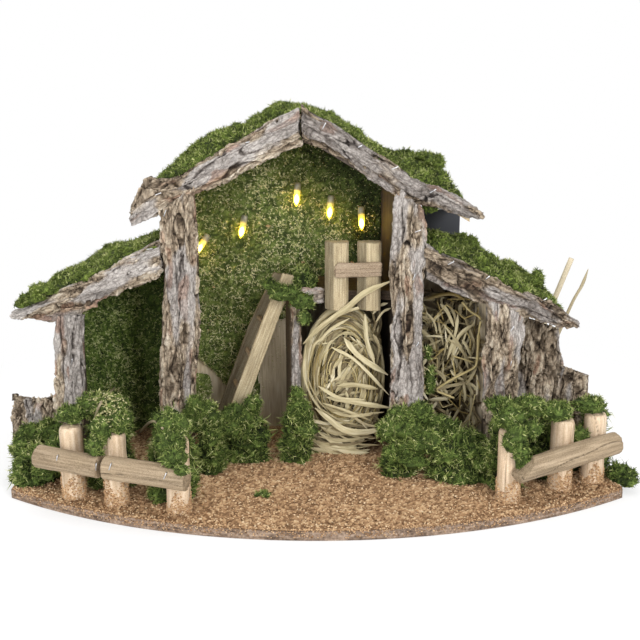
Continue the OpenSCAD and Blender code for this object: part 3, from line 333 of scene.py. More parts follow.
def split_bark():
    """Split softwood bark, dried: tan scaly ridges, lilac-grey weathered skin, dark furrows,
    their own dark deepened with painted shade.
    """
    tree, shader, material = surface("split_bark", 0.88, 0.3)
    relief, grey, rust = (add(tree, "ShaderNodeAttribute", attribute_name=mark).outputs["Fac"]
                          for mark in ("relief", "grey", "rust"))
    place = add(tree, "ShaderNodeAttribute", attribute_name="grain").outputs["Vector"]
    tan = add(tree, "ShaderNodeValToRGB", {"Fac": relief}, stops=[
        (0.0, "2a2119"), (0.24, "665848"), (0.48, "9a8a76"), (0.72, "baab96"), (1.0, "d6cbb9")])
    worn = add(tree, "ShaderNodeValToRGB", {"Fac": relief}, stops=[
        (0.0, "302a27"), (0.26, "776f69"), (0.52, "a7a09a"), (0.76, "c2bbb5"), (1.0, "d8d2cc")])
    base = add(tree, "ShaderNodeMix", {SHARE: grey, COLOUR_A: tan.outputs[0],
                                       COLOUR_B: worn.outputs[0]}, data_type="RGBA")
    red = add(tree, "ShaderNodeValToRGB", {"Fac": relief}, stops=[
        (0.0, "2a1a12"), (0.45, "7d5a46"), (1.0, "b8937a")])
    rusty = add(tree, "ShaderNodeMix", {SHARE: rust, COLOUR_A: base.outputs[MIXED],
                                        COLOUR_B: red.outputs[0]}, data_type="RGBA")
    # Grain of the bark at about a millimetre, and thin dark edges round its small scales:
    # painted shade in the gaps between them
    speck = add(tree, "ShaderNodeTexNoise", {"Vector": place, "Scale": 0.9, "Detail": 4.0,
                                             "Roughness": 0.7})
    warped = add(tree, "ShaderNodeVectorMath", {0: speck.outputs["Color"], 1: (1.6, 1.6, 1.6),
                                                2: place}, operation="MULTIPLY_ADD")
    scaly = add(tree, "ShaderNodeMapping", {"Vector": warped.outputs[0],
                                            "Scale": (0.1, 0.36, 0.36)})
    edge = add(tree, "ShaderNodeTexVoronoi", {"Vector": scaly.outputs[0], "Scale": 1.0},
               feature="DISTANCE_TO_EDGE")
    thin = add(tree, "ShaderNodeMapRange", {
        "Value": edge.outputs["Distance"], "From Min": 0.0, "From Max": 0.15, "To Min": 0.6,
        "To Max": 1.02})
    shade = add(tree, "ShaderNodeMapRange", {
        "Value": speck.outputs[0], "From Min": 0.25, "From Max": 0.75, "To Min": 0.66,
        "To Max": 1.36})
    both = add(tree, "ShaderNodeMath", {0: thin.outputs[0], 1: shade.outputs[0]},
               operation="MULTIPLY")
    tint = add(tree, "ShaderNodeMix", {SHARE: 1.0, COLOUR_A: rusty.outputs[MIXED],
                                       COLOUR_B: both.outputs[0]},
               data_type="RGBA", blend_type="MULTIPLY")
    tree.links.new(tint.outputs[MIXED], shader.inputs["Base Color"])
    bump = add(tree, "ShaderNodeBump", {"Height": both.outputs[0], "Strength": 0.8,
                                        "Distance": 0.8 * MM})
    tree.links.new(bump.outputs[0], shader.inputs["Normal"])
    return material


def dyed_moss(name, stops):
    """Dried, dyed moss: matt fronds, darker at their feet and between them with painted shade,
    and pale at their tips.
    """
    tree, shader, material = surface(name, 0.8, 0.2)
    tone = add(tree, "ShaderNodeAttribute", attribute_name="tone").outputs["Fac"]
    place = add(tree, "ShaderNodeTexCoord").outputs["Object"]
    # Leaflets of about a millimetre, too small to be modelled one by one
    leaf = add(tree, "ShaderNodeTexNoise", {"Vector": place, "Scale": per_mm(1.3),
                                            "Detail": 2.0})
    varied = add(tree, "ShaderNodeMath", {0: leaf.outputs[0], 1: 0.5, 2: tone},
                 operation="MULTIPLY_ADD")
    lower = add(tree, "ShaderNodeMath", {0: varied.outputs[0], 1: 0.25},
                operation="SUBTRACT")
    colour = add(tree, "ShaderNodeValToRGB", {"Fac": lower.outputs[0]}, stops=stops)
    tree.links.new(colour.outputs[0], shader.inputs["Base Color"])
    bump = add(tree, "ShaderNodeBump", {"Height": leaf.outputs[0], "Strength": 0.8,
                                        "Distance": 1.0 * MM})
    tree.links.new(bump.outputs[0], shader.inputs["Normal"])
    return material


def sawn_wood(name, dark, mid, pale, ring, rough=0.7):
    """Sawn softwood: rings some mm apart, cut lengthwise, and saw fuzz across them."""
    tree, shader, material = surface(name, rough, 0.3)
    place = add(tree, "ShaderNodeAttribute", attribute_name="grain").outputs["Vector"]
    long_way = add(tree, "ShaderNodeMapping", {"Vector": place, "Scale": (0.05, 1.0, 1.0)})
    rings = add(tree, "ShaderNodeTexNoise", {"Vector": long_way.outputs[0],
                                             "Scale": 1 / ring, "Detail": 5.0,
                                             "Distortion": 0.4})
    fuzz = add(tree, "ShaderNodeTexNoise", {"Vector": place, "Scale": 1.4, "Detail": 3.0})
    both = add(tree, "ShaderNodeMath", {0: rings.outputs[0], 1: fuzz.outputs[0]},
               operation="ADD")
    spread = add(tree, "ShaderNodeMapRange", {"Value": both.outputs[0], "From Min": 0.7,
                                              "From Max": 1.3})
    colour = add(tree, "ShaderNodeValToRGB", {"Fac": spread.outputs[0]},
                 stops=[(0.0, dark), (0.5, mid), (1.0, pale)])
    shade = add(tree, "ShaderNodeAttribute", attribute_name="relief").outputs["Fac"]
    tint = add(tree, "ShaderNodeMix", {SHARE: 1.0, COLOUR_A: colour.outputs[0],
                                       COLOUR_B: shade},
               data_type="RGBA", blend_type="MULTIPLY")
    tree.links.new(tint.outputs[MIXED], shader.inputs["Base Color"])
    bump = add(tree, "ShaderNodeBump", {"Height": both.outputs[0], "Strength": 0.5,
                                        "Distance": 0.4 * MM})
    tree.links.new(bump.outputs[0], shader.inputs["Normal"])
    return material


def veneer(name, dark, mid, pale, along):
    """Poplar plywood's knife-cut veneer, or planed spruce: a soft figure and long pores. The
    pattern is stretched where along is small, which is the grain's direction."""
    tree, shader, material = surface(name, 0.68, 0.35)
    place = add(tree, "ShaderNodeTexCoord").outputs["Object"]
    stretched = add(tree, "ShaderNodeMapping", {"Vector": place, "Scale": along})
    figure = add(tree, "ShaderNodeTexNoise", {"Vector": stretched.outputs[0],
                                              "Scale": per_mm(5), "Detail": 6.0,
                                              "Distortion": 0.6})
    pores = add(tree, "ShaderNodeTexNoise", {"Vector": stretched.outputs[0],
                                             "Scale": per_mm(1.2), "Detail": 2.0})
    both = add(tree, "ShaderNodeMix", {SHARE: 0.35, NUMBER_A: figure.outputs[0],
                                       NUMBER_B: pores.outputs[0]})
    colour = add(tree, "ShaderNodeValToRGB", {"Fac": both.outputs[0]},
                 stops=[(0.3, dark), (0.5, mid), (0.68, pale)])
    tree.links.new(colour.outputs[0], shader.inputs["Base Color"])
    bump = add(tree, "ShaderNodeBump", {"Height": pores.outputs[0], "Strength": 0.35,
                                        "Distance": 0.3 * MM})
    tree.links.new(bump.outputs[0], shader.inputs["Normal"])
    return material


def board_edge():
    """Rough-sawn board, stained grey-brown: fibres run along its edge in thin layers."""
    tree, shader, material = surface("sawn_board", 0.9, 0.2)
    place = add(tree, "ShaderNodeTexCoord").outputs["Object"]
    fibres = add(tree, "ShaderNodeMapping", {"Vector": place, "Scale": (0.12, 0.12, 1.0)})
    layer = add(tree, "ShaderNodeTexNoise", {"Vector": fibres.outputs[0],
                                             "Scale": per_mm(2.2), "Detail": 5.0})
    fleck = add(tree, "ShaderNodeTexNoise", {"Vector": place, "Scale": per_mm(2.5),
                                             "Detail": 4.0})
    both = add(tree, "ShaderNodeMix", {SHARE: 0.45, NUMBER_A: layer.outputs[0],
                                       NUMBER_B: fleck.outputs[0]})
    colour = add(tree, "ShaderNodeValToRGB", {"Fac": both.outputs[0]}, stops=[
        (0.3, "352a22"), (0.43, "69584b"), (0.56, "917d6c"), (0.7, "b5a190")])
    tree.links.new(colour.outputs[0], shader.inputs["Base Color"])
    bump = add(tree, "ShaderNodeBump", {"Height": both.outputs[0], "Strength": 0.9,
                                        "Distance": 1.2 * MM})
    tree.links.new(bump.outputs[0], shader.inputs["Normal"])
    return material


def toned(name, stops, rough, fine, specular=0.3, grained=0.35):
    """A natural stuff whose own colour varies from piece to piece, with a grain fine mm
    wide that shifts its tone by grained."""
    tree, shader, material = surface(name, rough, specular)
    tone = add(tree, "ShaderNodeAttribute", attribute_name="tone").outputs["Fac"]
    place = add(tree, "ShaderNodeAttribute", attribute_name="grain").outputs["Vector"]
    grain = add(tree, "ShaderNodeTexNoise", {"Vector": place, "Scale": 1 / fine,
                                             "Detail": 3.0})
    both = add(tree, "ShaderNodeMath", {0: grain.outputs[0], 1: grained, 2: tone},
               operation="MULTIPLY_ADD")
    lower = add(tree, "ShaderNodeMath", {0: both.outputs[0], 1: grained / 2},
                operation="SUBTRACT")
    colour = add(tree, "ShaderNodeValToRGB", {"Fac": lower.outputs[0]}, stops=stops)
    tree.links.new(colour.outputs[0], shader.inputs["Base Color"])
    return material


def moulded_abs(name, code, grit=0.6):
    """ABS, moulded with a fine spark-eroded grain, which gives it a broad soft sheen."""
    tree, shader, material = surface(name, 0.5, 0.5)
    place = add(tree, "ShaderNodeTexCoord").outputs["Object"]
    grain = add(tree, "ShaderNodeTexNoise", {"Vector": place, "Scale": per_mm(grit),
                                             "Detail": 2.0})
    rough = add(tree, "ShaderNodeMapRange", {"Value": grain.outputs[0], "To Min": 0.4,
                                             "To Max": 0.62})
    shader.inputs["Base Color"].default_value = rgb(code)
    tree.links.new(rough.outputs[0], shader.inputs["Roughness"])
    bump = add(tree, "ShaderNodeBump", {"Height": grain.outputs[0], "Strength": 0.25,
                                        "Distance": 0.1 * MM})
    tree.links.new(bump.outputs[0], shader.inputs["Normal"])
    return material


def plated_steel(name, rough):
    """Zinc-plated steel: bright, with faint drawing marks."""
    tree, shader, material = surface(name, rough)
    place = add(tree, "ShaderNodeTexCoord").outputs["Object"]
    marks = add(tree, "ShaderNodeTexNoise", {"Vector": place, "Scale": per_mm(0.8)})
    worn = add(tree, "ShaderNodeMapRange", {"Value": marks.outputs[0],
                                            "To Min": rough - 0.08, "To Max": rough + 0.12})
    shader.inputs["Base Color"].default_value = rgb("cfcfd2")
    shader.inputs["Metallic"].default_value = 1.0
    tree.links.new(worn.outputs[0], shader.inputs["Roughness"])
    return material


def shrunk_film():
    """PVC shrink film over each cell, satin and plain."""
    tree, shader, material = surface("shrink_film", 0.35)
    place = add(tree, "ShaderNodeTexCoord").outputs["Object"]
    ripple = add(tree, "ShaderNodeTexNoise", {"Vector": place, "Scale": per_mm(6)})
    shader.inputs["Base Color"].default_value = rgb("6d6f72")
    bump = add(tree, "ShaderNodeBump", {"Height": ripple.outputs[0], "Strength": 0.15,
                                        "Distance": 0.2 * MM})
    tree.links.new(bump.outputs[0], shader.inputs["Normal"])
    return material


def lit_glass():
    """Clear lamp glass, smooth and lit warm from within."""
    _, shader, material = surface("lit_lamp_glass", 0.12)
    shader.inputs["Base Color"].default_value = rgb("ffe06a")
    shader.inputs["Transmission Weight"].default_value = 0.5
    shader.inputs["Emission Color"].default_value = rgb("ffd93a")
    shader.inputs["Emission Strength"].default_value = 2.6
    return material


def glowing_wire():
    """The lit filament of a lamp: a core too bright to show a form of its own."""
    _, shader, material = surface("lamp_heart", 0.5)
    shader.inputs["Base Color"].default_value = rgb("fff3b0")
    shader.inputs["Emission Color"].default_value = rgb("fff4b4")
    shader.inputs["Emission Strength"].default_value = 14.0
    return material


def milky_sleeve():
    """Translucent PVC sleeve, greyed by the wire inside."""
    tree, shader, material = surface("milky_sleeve", 0.35)
    place = add(tree, "ShaderNodeTexCoord").outputs["Object"]
    cloud = add(tree, "ShaderNodeTexNoise", {"Vector": place, "Scale": per_mm(4)})
    colour = add(tree, "ShaderNodeValToRGB", {"Fac": cloud.outputs[0]},
                 stops=[(0.35, "777b74"), (0.65, "a3a69e")])
    tree.links.new(colour.outputs[0], shader.inputs["Base Color"])
    shader.inputs["Transmission Weight"].default_value = 0.35
    return material


BARK = split_bark()
MOSS_ROOF = dyed_moss("deep_moss", [(0.0, "13170a"), (0.24, "343f16"), (0.48, "62722f"),
                                    (0.72, "929e56"), (1.0, "cccb92")])
MOSS_WALL = dyed_moss("sage_moss", [(0.0, "1a1e0e"), (0.18, "425025"), (0.42, "728243"),
                                    (0.62, "a2aa6c"), (0.78, "d9d6a2"), (1.0, "f6f1c8")])
MOSS_LEAN = dyed_moss("lean_moss", [(0.0, "141a0b"), (0.22, "36471c"), (0.46, "607434"),
                                    (0.68, "8d9a58"), (1.0, "cfcf9c")])
MOSS_GROUND = dyed_moss("bright_moss", [(0.0, "11180a"), (0.26, "323f18"), (0.5, "5c6f33"),
                                        (0.74, "929d57"), (1.0, "cccb95")])
PINE = sawn_wood("sawn_pine", "857559", "ac9c7c", "cabd9f", ring=1.5)
SLAT = sawn_wood("weathered_slat", "6a5a46", "93806a", "b3a28a", ring=1.3)
LOG = sawn_wood("peeled_log", "b2987b", "d4bb9d", "e9d8c0", ring=2.4, rough=0.62)
LOG_DARK = sawn_wood("weathered_log", "6f5e49", "98856b", "b8a48a", ring=2.2)
# Painted shade: the loft's boards are made dark for the shade under and beside the loft
SHADE_DARK_BOARD = sawn_wood("board_in_painted_shade", "2c231a", "544638", "776756", ring=2.0)
PLY = veneer("poplar_plywood", "a8977c", "cbbca0", "e0d5bf", along=(1.0, 1.0, 0.08))
PLY_ROOF = veneer("roof_plywood", "8e795c", "b7a382", "d2c2a4", along=(1.0, 0.08, 1.0))
# Painted shade: spruce made dark for the posts, rafters and right partition, which lie in shade
SHADE_DARK_SPRUCE = veneer("spruce_in_painted_shade", "332a22", "483d33", "5f5347", along=(1.0, 1.0, 0.06))
BOARD = board_edge()
CORK = toned("cork_crumbs", [(0.0, "6a4f38"), (0.3, "9c7b5b"), (0.55, "bf9c76"),
                             (0.8, "d3b690"), (1.0, "e4d0b0")],
             rough=0.9, fine=1.1, specular=0.15)
STRAW = toned("wood_shavings", [(0.0, "2e2416"), (0.25, "74664a"), (0.5, "a39672"),
                                (0.75, "c2b691"), (1.0, "dfd5b8")],
              rough=0.62, fine=0.9, specular=0.35, grained=0.7)
YELLOW_STRAW = toned("dry_stalks", [(0.0, "5c4a26"), (0.4, "94804a"), (0.7, "b8a56c"),
                                    (1.0, "d3c596")], rough=0.5, fine=0.9, specular=0.45)
REED = toned("dry_reed", [(0.0, "6f6650"), (0.5, "a99c7e"), (1.0, "d8cbb2")],
             rough=0.6, fine=1.2)
CRUMB = toned("pale_crumbs", [(0.0, "8d8658"), (0.5, "bfb98c"), (1.0, "e3ddb8")],
              rough=0.85, fine=0.8)
CASE = moulded_abs("moulded_case", "34363c")
KNOB = moulded_abs("moulded_knob", "141416", grit=0.4)
STEEL = plated_steel("plated_wire", rough=0.3)
LEAF_STEEL = plated_steel("plated_leaf", rough=0.4)
FILM = shrunk_film()


# Bark slabs and chunks

# Sizes in mm of what bark is made of: along the slab, across it and through it
PLATE, SCALE, FURROW, FIBRE = (19, 5.4, 5.4), (5.5, 2.4, 2.4), (26, 3.4, 3.4), (14, 1.7, 1.7)
SWELLING, SPLIT, GREY_PATCH, RUST_PATCH = (42, 16, 16), (80, 9, 9), (50, 12, 12), (24, 7, 7)
SWAY, JITTER, EDGE_TOOTH = (30, 14, 14), (8, 5, 5), (12, 6, 6)


def carved_bark(points, normals, seed, grey_level, deep, band):
    """Furrowed bark worked into an even skin: new points and the marks its colours need. The
    side that looks back is glued down and stays flat."""
    middle, axes = own_axes(points)
    local = (points - middle) @ axes
    out = normals @ axes
    sway = noise(local / SWAY, seed) - 0.5
    jitter = noise(local / JITTER, seed + 3) - 0.5
    p = local + np.stack([4 * jitter, 9 * sway + 1.6 * jitter, 5 * sway], 1)
    middle_share = 1 - 2 * np.abs(local[:, 1]) / np.abs(local[:, 1]).max()
    grey = ease(layers(p / GREY_PATCH, seed + 11, 2) + band * middle_share,
                grey_level, grey_level + 0.12)
    soft = 1 - 0.68 * grey
    first, second, plate = cells(p / PLATE, seed + 23)
    crack = ease(second - first, 0.0, 0.24)
    small, next_small, scale = cells(p / SCALE, seed + 37)
    flake = ease(next_small - small, 0.0, 0.3)
    furrow = ease(np.abs(layers(p / FURROW, seed + 41) - 0.5) * 2, 0.0, 0.24)
    fibre = np.abs(layers(p / FIBRE, seed + 47, 2) - 0.5) * 2
    lump = layers(p / SWELLING, seed + 53) - 0.5
    split = ease(np.abs(noise(p / SPLIT, seed + 61) - 0.5), 0.0, 0.03)
    height = 6.5 * lump + deep * (soft * (2.3 * (crack - 1) + 2.6 * (plate - 0.5)
             + 1.9 * (furrow - 0.8) + 0.9 * (fibre - 0.5))
             + (0.4 + 0.5 * soft) * (flake - 0.6) + 0.8 * (scale - 0.5) * soft
             + 3.0 * (split - 1))
    side = np.clip(np.abs(out[:, 1]) + np.abs(out[:, 0]), 0, 1)
    height += side * (5 * (layers(local / EDGE_TOOTH, seed + 71) - 0.5) - 0.4)
    glued = 1 - ease(normals[:, 1], 0.4, 0.8)
    moved = points + normals * (height * glued)[:, None]
    # Darker in cracks, furrows, splits and round flakes, lighter on swellings: partly the
    # bark's own colour, partly painted shade in the hollows and painted light on the swellings
    relief = (0.02 + 0.26 * crack + 0.26 * furrow + 0.14 * flake + 0.2 * fibre
              + 0.2 * (scale - 0.5) + 0.26 * (plate - 0.5) + 0.5 * lump)
    calm = 0.34 + 0.36 * relief + 0.25 * lump + 0.12 * (flake - 0.5)
    relief = np.clip(relief * (1 - grey) + grey * calm - 0.5 * (1 - split), 0, 1)
    rust = ease(noise(p / RUST_PATCH, seed + 83), 0.72, 0.8) * (0.25 + 0.45 * plate)
    return moved, {"relief": relief, "grey": grey, "rust": rust, "grain": local}


def bark(name, node, seed, grey_level, voxel=0.95, deep=0.85, grow=None, band=0.0,
         dark=0.0, widen=(), knots=()):
    """Bark in place of a CAD node. grow is a direction and how far that end reaches on, band
    leaves its middle greyer, dark lowers its tones with painted shade and raises them with
    painted light where it is below zero, widen says which solids are wider, and knots rise
    from the upper edge: x, reach, mm."""
    points, faces, normals = skinned(node, voxel)
    if grow:
        way, far = unit(np.array(grow[0], float)), grow[1]
        along = points @ way
        points = points + way * (far * ease(along, along.max() - 30, along.max() - 2))[:, None]
    marks = {k: np.zeros(len(points)) for k in ("relief", "grey", "rust")}
    marks["grain"] = np.zeros((len(points), 3))
    moved = points.copy()
    owner = solids(points, faces)
    for k in range(owner.max() + 1):
        own = owner == k
        right = points[own, 0].max()
        for edge, new_edge, share in widen:
            if abs(right - edge) < 4:
                points[own, 0] = new_edge - (right - points[own, 0]) * share
        moved[own], values = carved_bark(points[own], normals[own], seed + 7 * k, grey_level,
                                         deep, band)
        for mark in marks:
            marks[mark][own] = values[mark]
    for x, reach, high in knots:
        upper = ease(normals[:, 2] - 0.4 * normals[:, 0], -0.2, 0.8)
        moved[:, 2] += high * upper * np.exp(-((points[:, 0] - x) / reach) ** 2)
    # Painted shade where dark is above zero, painted light where it is below
    marks["relief"] = np.clip(marks["relief"] - dark, 0, 1)
    made = piece(name, moved, [faces], BARK, "bark", **marks)
    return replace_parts(made, node)


# Slabs and loose chunks that are wider than their solids: right edge in mm, where it
# comes to lie, and the share of the width
CHUNK_WIDTHS = [(-281, -281, 1.25), (259, 258, 1.15), (296, 286, 1.32)]
OUTER_RIGHT_WIDTH = [(200, 209, 1.24)]


def bark_all():
    """All the bark, with its seeds and how grey each slab is; gives the pieces."""
    # dark gives the right-hand eaves painted shade and the left-hand ones painted light
    return [
        bark("left_post_bark", "bark_post_main_left", 120, 0.48, grow=(UP, 13)),
        bark("right_post_bark", "bark_post_main_right", 213, 0.44, grow=(UP, 13)),
        bark("outer_left_post_bark", "bark_post_outer_left", 351, 0.42, grow=(UP, 12)),
        bark("outer_right_post_bark", "bark_post_outer_right", 409, 0.5, grow=(UP, 12),
             widen=OUTER_RIGHT_WIDTH),
        bark("main_left_eave_bark", "bark_eave_main_left", 537, 0.42, deep=0.9, band=0.18,
             dark=-0.03, knots=[(-168, 11, 9)]),
        bark("main_right_eave_bark", "bark_eave_main_right", 613, 0.42, deep=0.9,
             band=0.16, dark=0.13),
        bark("lean_left_eave_bark", "bark_eave_lean_left", 761, 0.48, deep=0.9,
             grow=((1, 0, 0.5), 6), dark=-0.04),
        bark("lean_right_eave_bark", "bark_eave_lean_right", 857, 0.48, deep=0.9,
             grow=((-1, 0, 0.5), 6), dark=0.17),
        bark("loft_edge_bark_strip", "loft_edge_bark", 911, 0.5, voxel=0.8, deep=0.5),
        bark("prop_bark_strip", "loft_prop_bark", 977, 0.5, voxel=0.8, deep=0.5),
        bark("loose_bark_chunks", "stump_barks", 1031, 0.6, voxel=1.1, deep=1.25, dark=0.03,
             grow=(UP, 12), widen=CHUNK_WIDTHS),
    ]


# Moss

# Width in mm of the quads that moss grows on
MOSS_QUAD = 2.2


def fronds(base, ahead, length, width, tone, rng, droop, wild):
    """Small bent tapering fronds: seven points and ten faces each."""
    count = len(base)
    bend = unit(ahead + wild * rng.normal(size=(count, 3)) - droop * UP)
    mid = base + ahead * (0.55 * length)[:, None]
    tip = mid + bend * (0.5 * length)[:, None]
    ring = frond_ring(ahead, width, rng)
    points = np.concatenate([base[:, None] + 0.7 * ring, mid[:, None] + ring, tip[:, None]], 1)
    faces = copies([[0, 1, 4], [0, 4, 3], [1, 2, 5], [1, 5, 4], [2, 0, 3], [2, 3, 5],
                    [3, 4, 6], [4, 5, 6], [5, 3, 6], [2, 1, 0]], 7, count)
    # Darker at the foot with painted shade, paler at the tip
    tones = tone[:, None] + np.array([-0.25, -0.25, -0.25, 0, 0, 0, 0.15])[None]
    return points.reshape(-1, 3), [faces], {"tone": np.clip(tones, 0, 1).ravel()}


def leaflets(base, ahead, length, width, tone, rng):
    """Small pointed leaflets: four points and four faces each."""
    tip = base + ahead * length[:, None]
    points = np.concatenate([base[:, None] + frond_ring(ahead, width, rng), tip[:, None]], 1)
    faces = copies([[0, 1, 3], [1, 2, 3], [2, 0, 3], [2, 1, 0]], 4, len(base))
    # Darker at the foot with painted shade, paler at the tip
    tones = tone[:, None] + np.array([-0.16, -0.16, -0.16, 0.12])[None]
    return points.reshape(-1, 3), [faces], {"tone": np.clip(tones, 0, 1).ravel()}


def frond_ring(ahead, width, rng):
    """Three points round each frond's foot, on a flattened ring."""
    side = unit(np.cross(ahead, rng.normal(size=ahead.shape)))
    other = np.cross(ahead, side)
    angle = np.array([0, 2.1, 4.2])[None, :, None]
    flat = 0.5
    return (side[:, None] * np.cos(angle) + other[:, None] * np.sin(angle) * flat) * (
        width / 2)[:, None, None]


def roof_shade_share(places):
    """From 0 to 1, how near places lie to the right-hand roof panel and its partition, and so
    how much painted shade they get.
    """
    low, high = box_mm("roof_main_right")
    fall = (high[2] - low[2]) / (high[0] - low[0])
    under = high[2] - fall * (places[:, 0] - low[0]) - places[:, 2]
    near = np.maximum(1 - ease(under, 25, 70), ease(places[:, 0], 20, 58))
    return np.where(places[:, 0] > low[0], near, 0)


def sprigs(points, faces, density, length, rng, hidden, tone, lift, droop=0.1, wild=0.5,
           each=4, width=0.9, curly=0.15, flecks=0.0, dull=0.0):
    """Tufts of leaflets scattered over quads, density to a square mm and each to a tuft. A
    share is curly, flecks of them are pale, and dull darkens those under the right roof
    as painted shade, where none of them are pale."""
    a, b, c, d = (points[faces[:, k]] for k in range(4))
    turned = np.cross(c - a, d - b) / 2
    area = np.linalg.norm(turned, axis=1)
    facing = turned / np.maximum(area, 1e-9)[:, None]
    weight = area * (facing @ hidden.T < 0.55).all(1)
    count = many(weight.sum() * density)
    chosen = rng.choice(len(faces), count, p=weight / weight.sum())
    s, t = rng.random((2, count, 1))
    root = (a[chosen] * (1 - s) + b[chosen] * s) * (1 - t) + (
        d[chosen] * (1 - s) + c[chosen] * s) * t
    ahead = unit(facing[chosen] + lift * UP + 0.45 * rng.normal(size=(count, 3)))
    own = tone + 0.6 * (layers(root / 13, 5) - 0.5) + 0.16 * rng.normal(size=count)
    # Painted shade under the right-hand roof: these sprigs are darker and none of them pale
    own -= dull * roof_shade_share(root)
    pale = rng.random(count) < flecks * 2.6 * ease(layers(root / 22, 17), 0.4, 0.66)
    pale &= (dull == 0) | (roof_shade_share(root) < 0.4)
    own = np.where(pale, 0.92, own)
    root, ahead, own = (np.repeat(x, each, axis=0) for x in (root, ahead, own))
    ahead = unit(ahead + 0.6 * rng.normal(size=ahead.shape))
    total = len(root)
    size = length * rng.uniform(0.5, 1.3, total)
    thick = width * rng.uniform(0.7, 1.3, total)
    own = own + 0.1 * rng.normal(size=total)
    root = root - 0.5 * ahead
    bent = rng.random(total) < curly
    plain = ~bent
    return merged([
        fronds(root[bent], ahead[bent], 1.25 * size[bent], thick[bent], own[bent] + 0.06, rng,
               droop, wild),
        leaflets(root[plain], ahead[plain], size[plain], thick[plain], own[plain], rng)])


def cushion(points, normals, seed, swell, hidden):
    """Lumpy ground of a moss piece, and its dark tone: painted shade under the fronds, with a
    little painted light where it rises.
    """
    fine = noise(points / 2.6, seed + 19)
    rise = swell * (8 * (layers(points / 13, seed) - 0.5)
                    + 4.5 * (layers(points / 5, seed + 9, 2) - 0.5) + 1.6 * (fine - 0.5))
    rise *= 1 - ease((normals @ hidden.T).max(1), 0.3, 0.8)
    moved = points + normals * rise[:, None]
    return moved, np.clip(0.1 + 0.04 * rise + 0.5 * fine ** 2, 0.02, 0.6)


def moss(name, node, material, seed, density, length, hidden, extra=(), tone=0.5, swell=1.0,
         wisps=0.0, bare=None, press=None, **ways):
    """A moss piece in place of a CAD node; hidden lists the ways its buried sides look, and
    extra rows are its tufts and drapes, as below. A share of it is long wisps; a bare place,
    x from and to, z below and depth, sinks into the wall; press lowers its top: x, reach and
    mm; ways are for its sprigs."""
    rng = np.random.default_rng(seed)
    hidden = np.array(hidden)
    points, faces, normals = skinned(node, MOSS_QUAD)
    moved, ground = cushion(points, normals, seed, swell, hidden)
    # Painted shade under the right-hand roof darkens the cushion too
    ground -= ways.get("dull", 0) * roof_shade_share(moved) * ground
    if press:
        top = ease(normals[:, 2], 0.1, 0.6)
        moved[:, 2] -= press[2] * top * np.exp(-((moved[:, 0] - press[0]) / press[1]) ** 2)
    grown = faces
    if bare:
        rough = moved + 9 * (layers(moved / 9, seed + 3, 2) - 0.5)[:, None]
        sunk = (rough[:, 0] > bare[0]) & (rough[:, 0] < bare[1]) & (rough[:, 2] < bare[2])
        moved[sunk, 1] = bare[3]
        grown = faces[~sunk[faces].any(1)]
    parts = [(moved, [faces], {"tone": ground})]
    parts.append(sprigs(moved, grown, density, length, rng, hidden, tone, **ways))
    if wisps:
        longer = dict(ways, curly=1.0, width=0.9, each=3)
        parts.append(sprigs(moved, grown, density * wisps, 2.1 * length, rng, hidden,
                            tone + 0.08, **longer))
    for x, y, depth, *radii in extra:
        lump_points, lump_faces = lump(seen(x, y, depth), radii, rng)
        # Dark under the sprigs: painted shade
        low_tone = 0.2 + 0.45 * noise(lump_points / 2.2, seed) ** 2
        parts.append((lump_points, lump_faces, {"tone": low_tone}))
        parts.append(sprigs(lump_points, lump_faces[0], 1.15 * density, length, rng, hidden,
                            tone, **ways))
    made = joined(name, parts, material, "moss", smooth=False)
    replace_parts(made, node)


def lump(centre, radii, rng):
    """Closed rough ball: its walls are quads, with a small cap at each pole."""
    around, up = 22, 13
    shift = rng.uniform(0, 50, 3)
    angle = np.linspace(0, 2 * np.pi, around, endpoint=False)
    height = np.linspace(-0.48 * np.pi, 0.48 * np.pi, up)
    ball = np.stack([np.cos(height)[:, None] * np.cos(angle)[None],
                     np.cos(height)[:, None] * np.sin(angle)[None],
                     np.sin(height)[:, None] * np.ones(around)[None]], -1)
    wobble = 0.62 + 0.7 * layers(ball.reshape(-1, 3) * 1.9 + shift, 3).reshape(up, around, 1)
    return lofted(ball * wobble * np.array(radii) + np.array(centre))


def crumbs(places, sizes, tones, rng, flat=0.7):
    """Small irregular eight-faced grains."""
    count = len(places)
    six = np.array([[1, 0, 0], [-1, 0, 0], [0, 1, 0], [0, -1, 0], [0, 0, 1], [0, 0, -1]], float)
    turn = rng.normal(size=(count, 3, 3))
    axes = np.stack([unit(turn[:, 0]), unit(np.cross(turn[:, 0], turn[:, 1])),
                     unit(np.cross(turn[:, 0], np.cross(turn[:, 0], turn[:, 1])))], 1)
    stretch = rng.uniform(0.6, 1.3, (count, 6, 1)) * six[None]
    points = places[:, None] + np.einsum("nij,njk->nik", stretch, axes) * (
        sizes / 2)[:, None, None] * np.array([1, 1, flat])
    faces = copies([[0, 2, 4], [2, 1, 4], [1, 3, 4], [3, 0, 4],
                    [2, 0, 5], [1, 2, 5], [3, 1, 5], [0, 3, 5]], 6, count)
    return points.reshape(-1, 3), [faces], {"tone": np.repeat(tones, 6),
                                            "grain": points.reshape(-1, 3)}


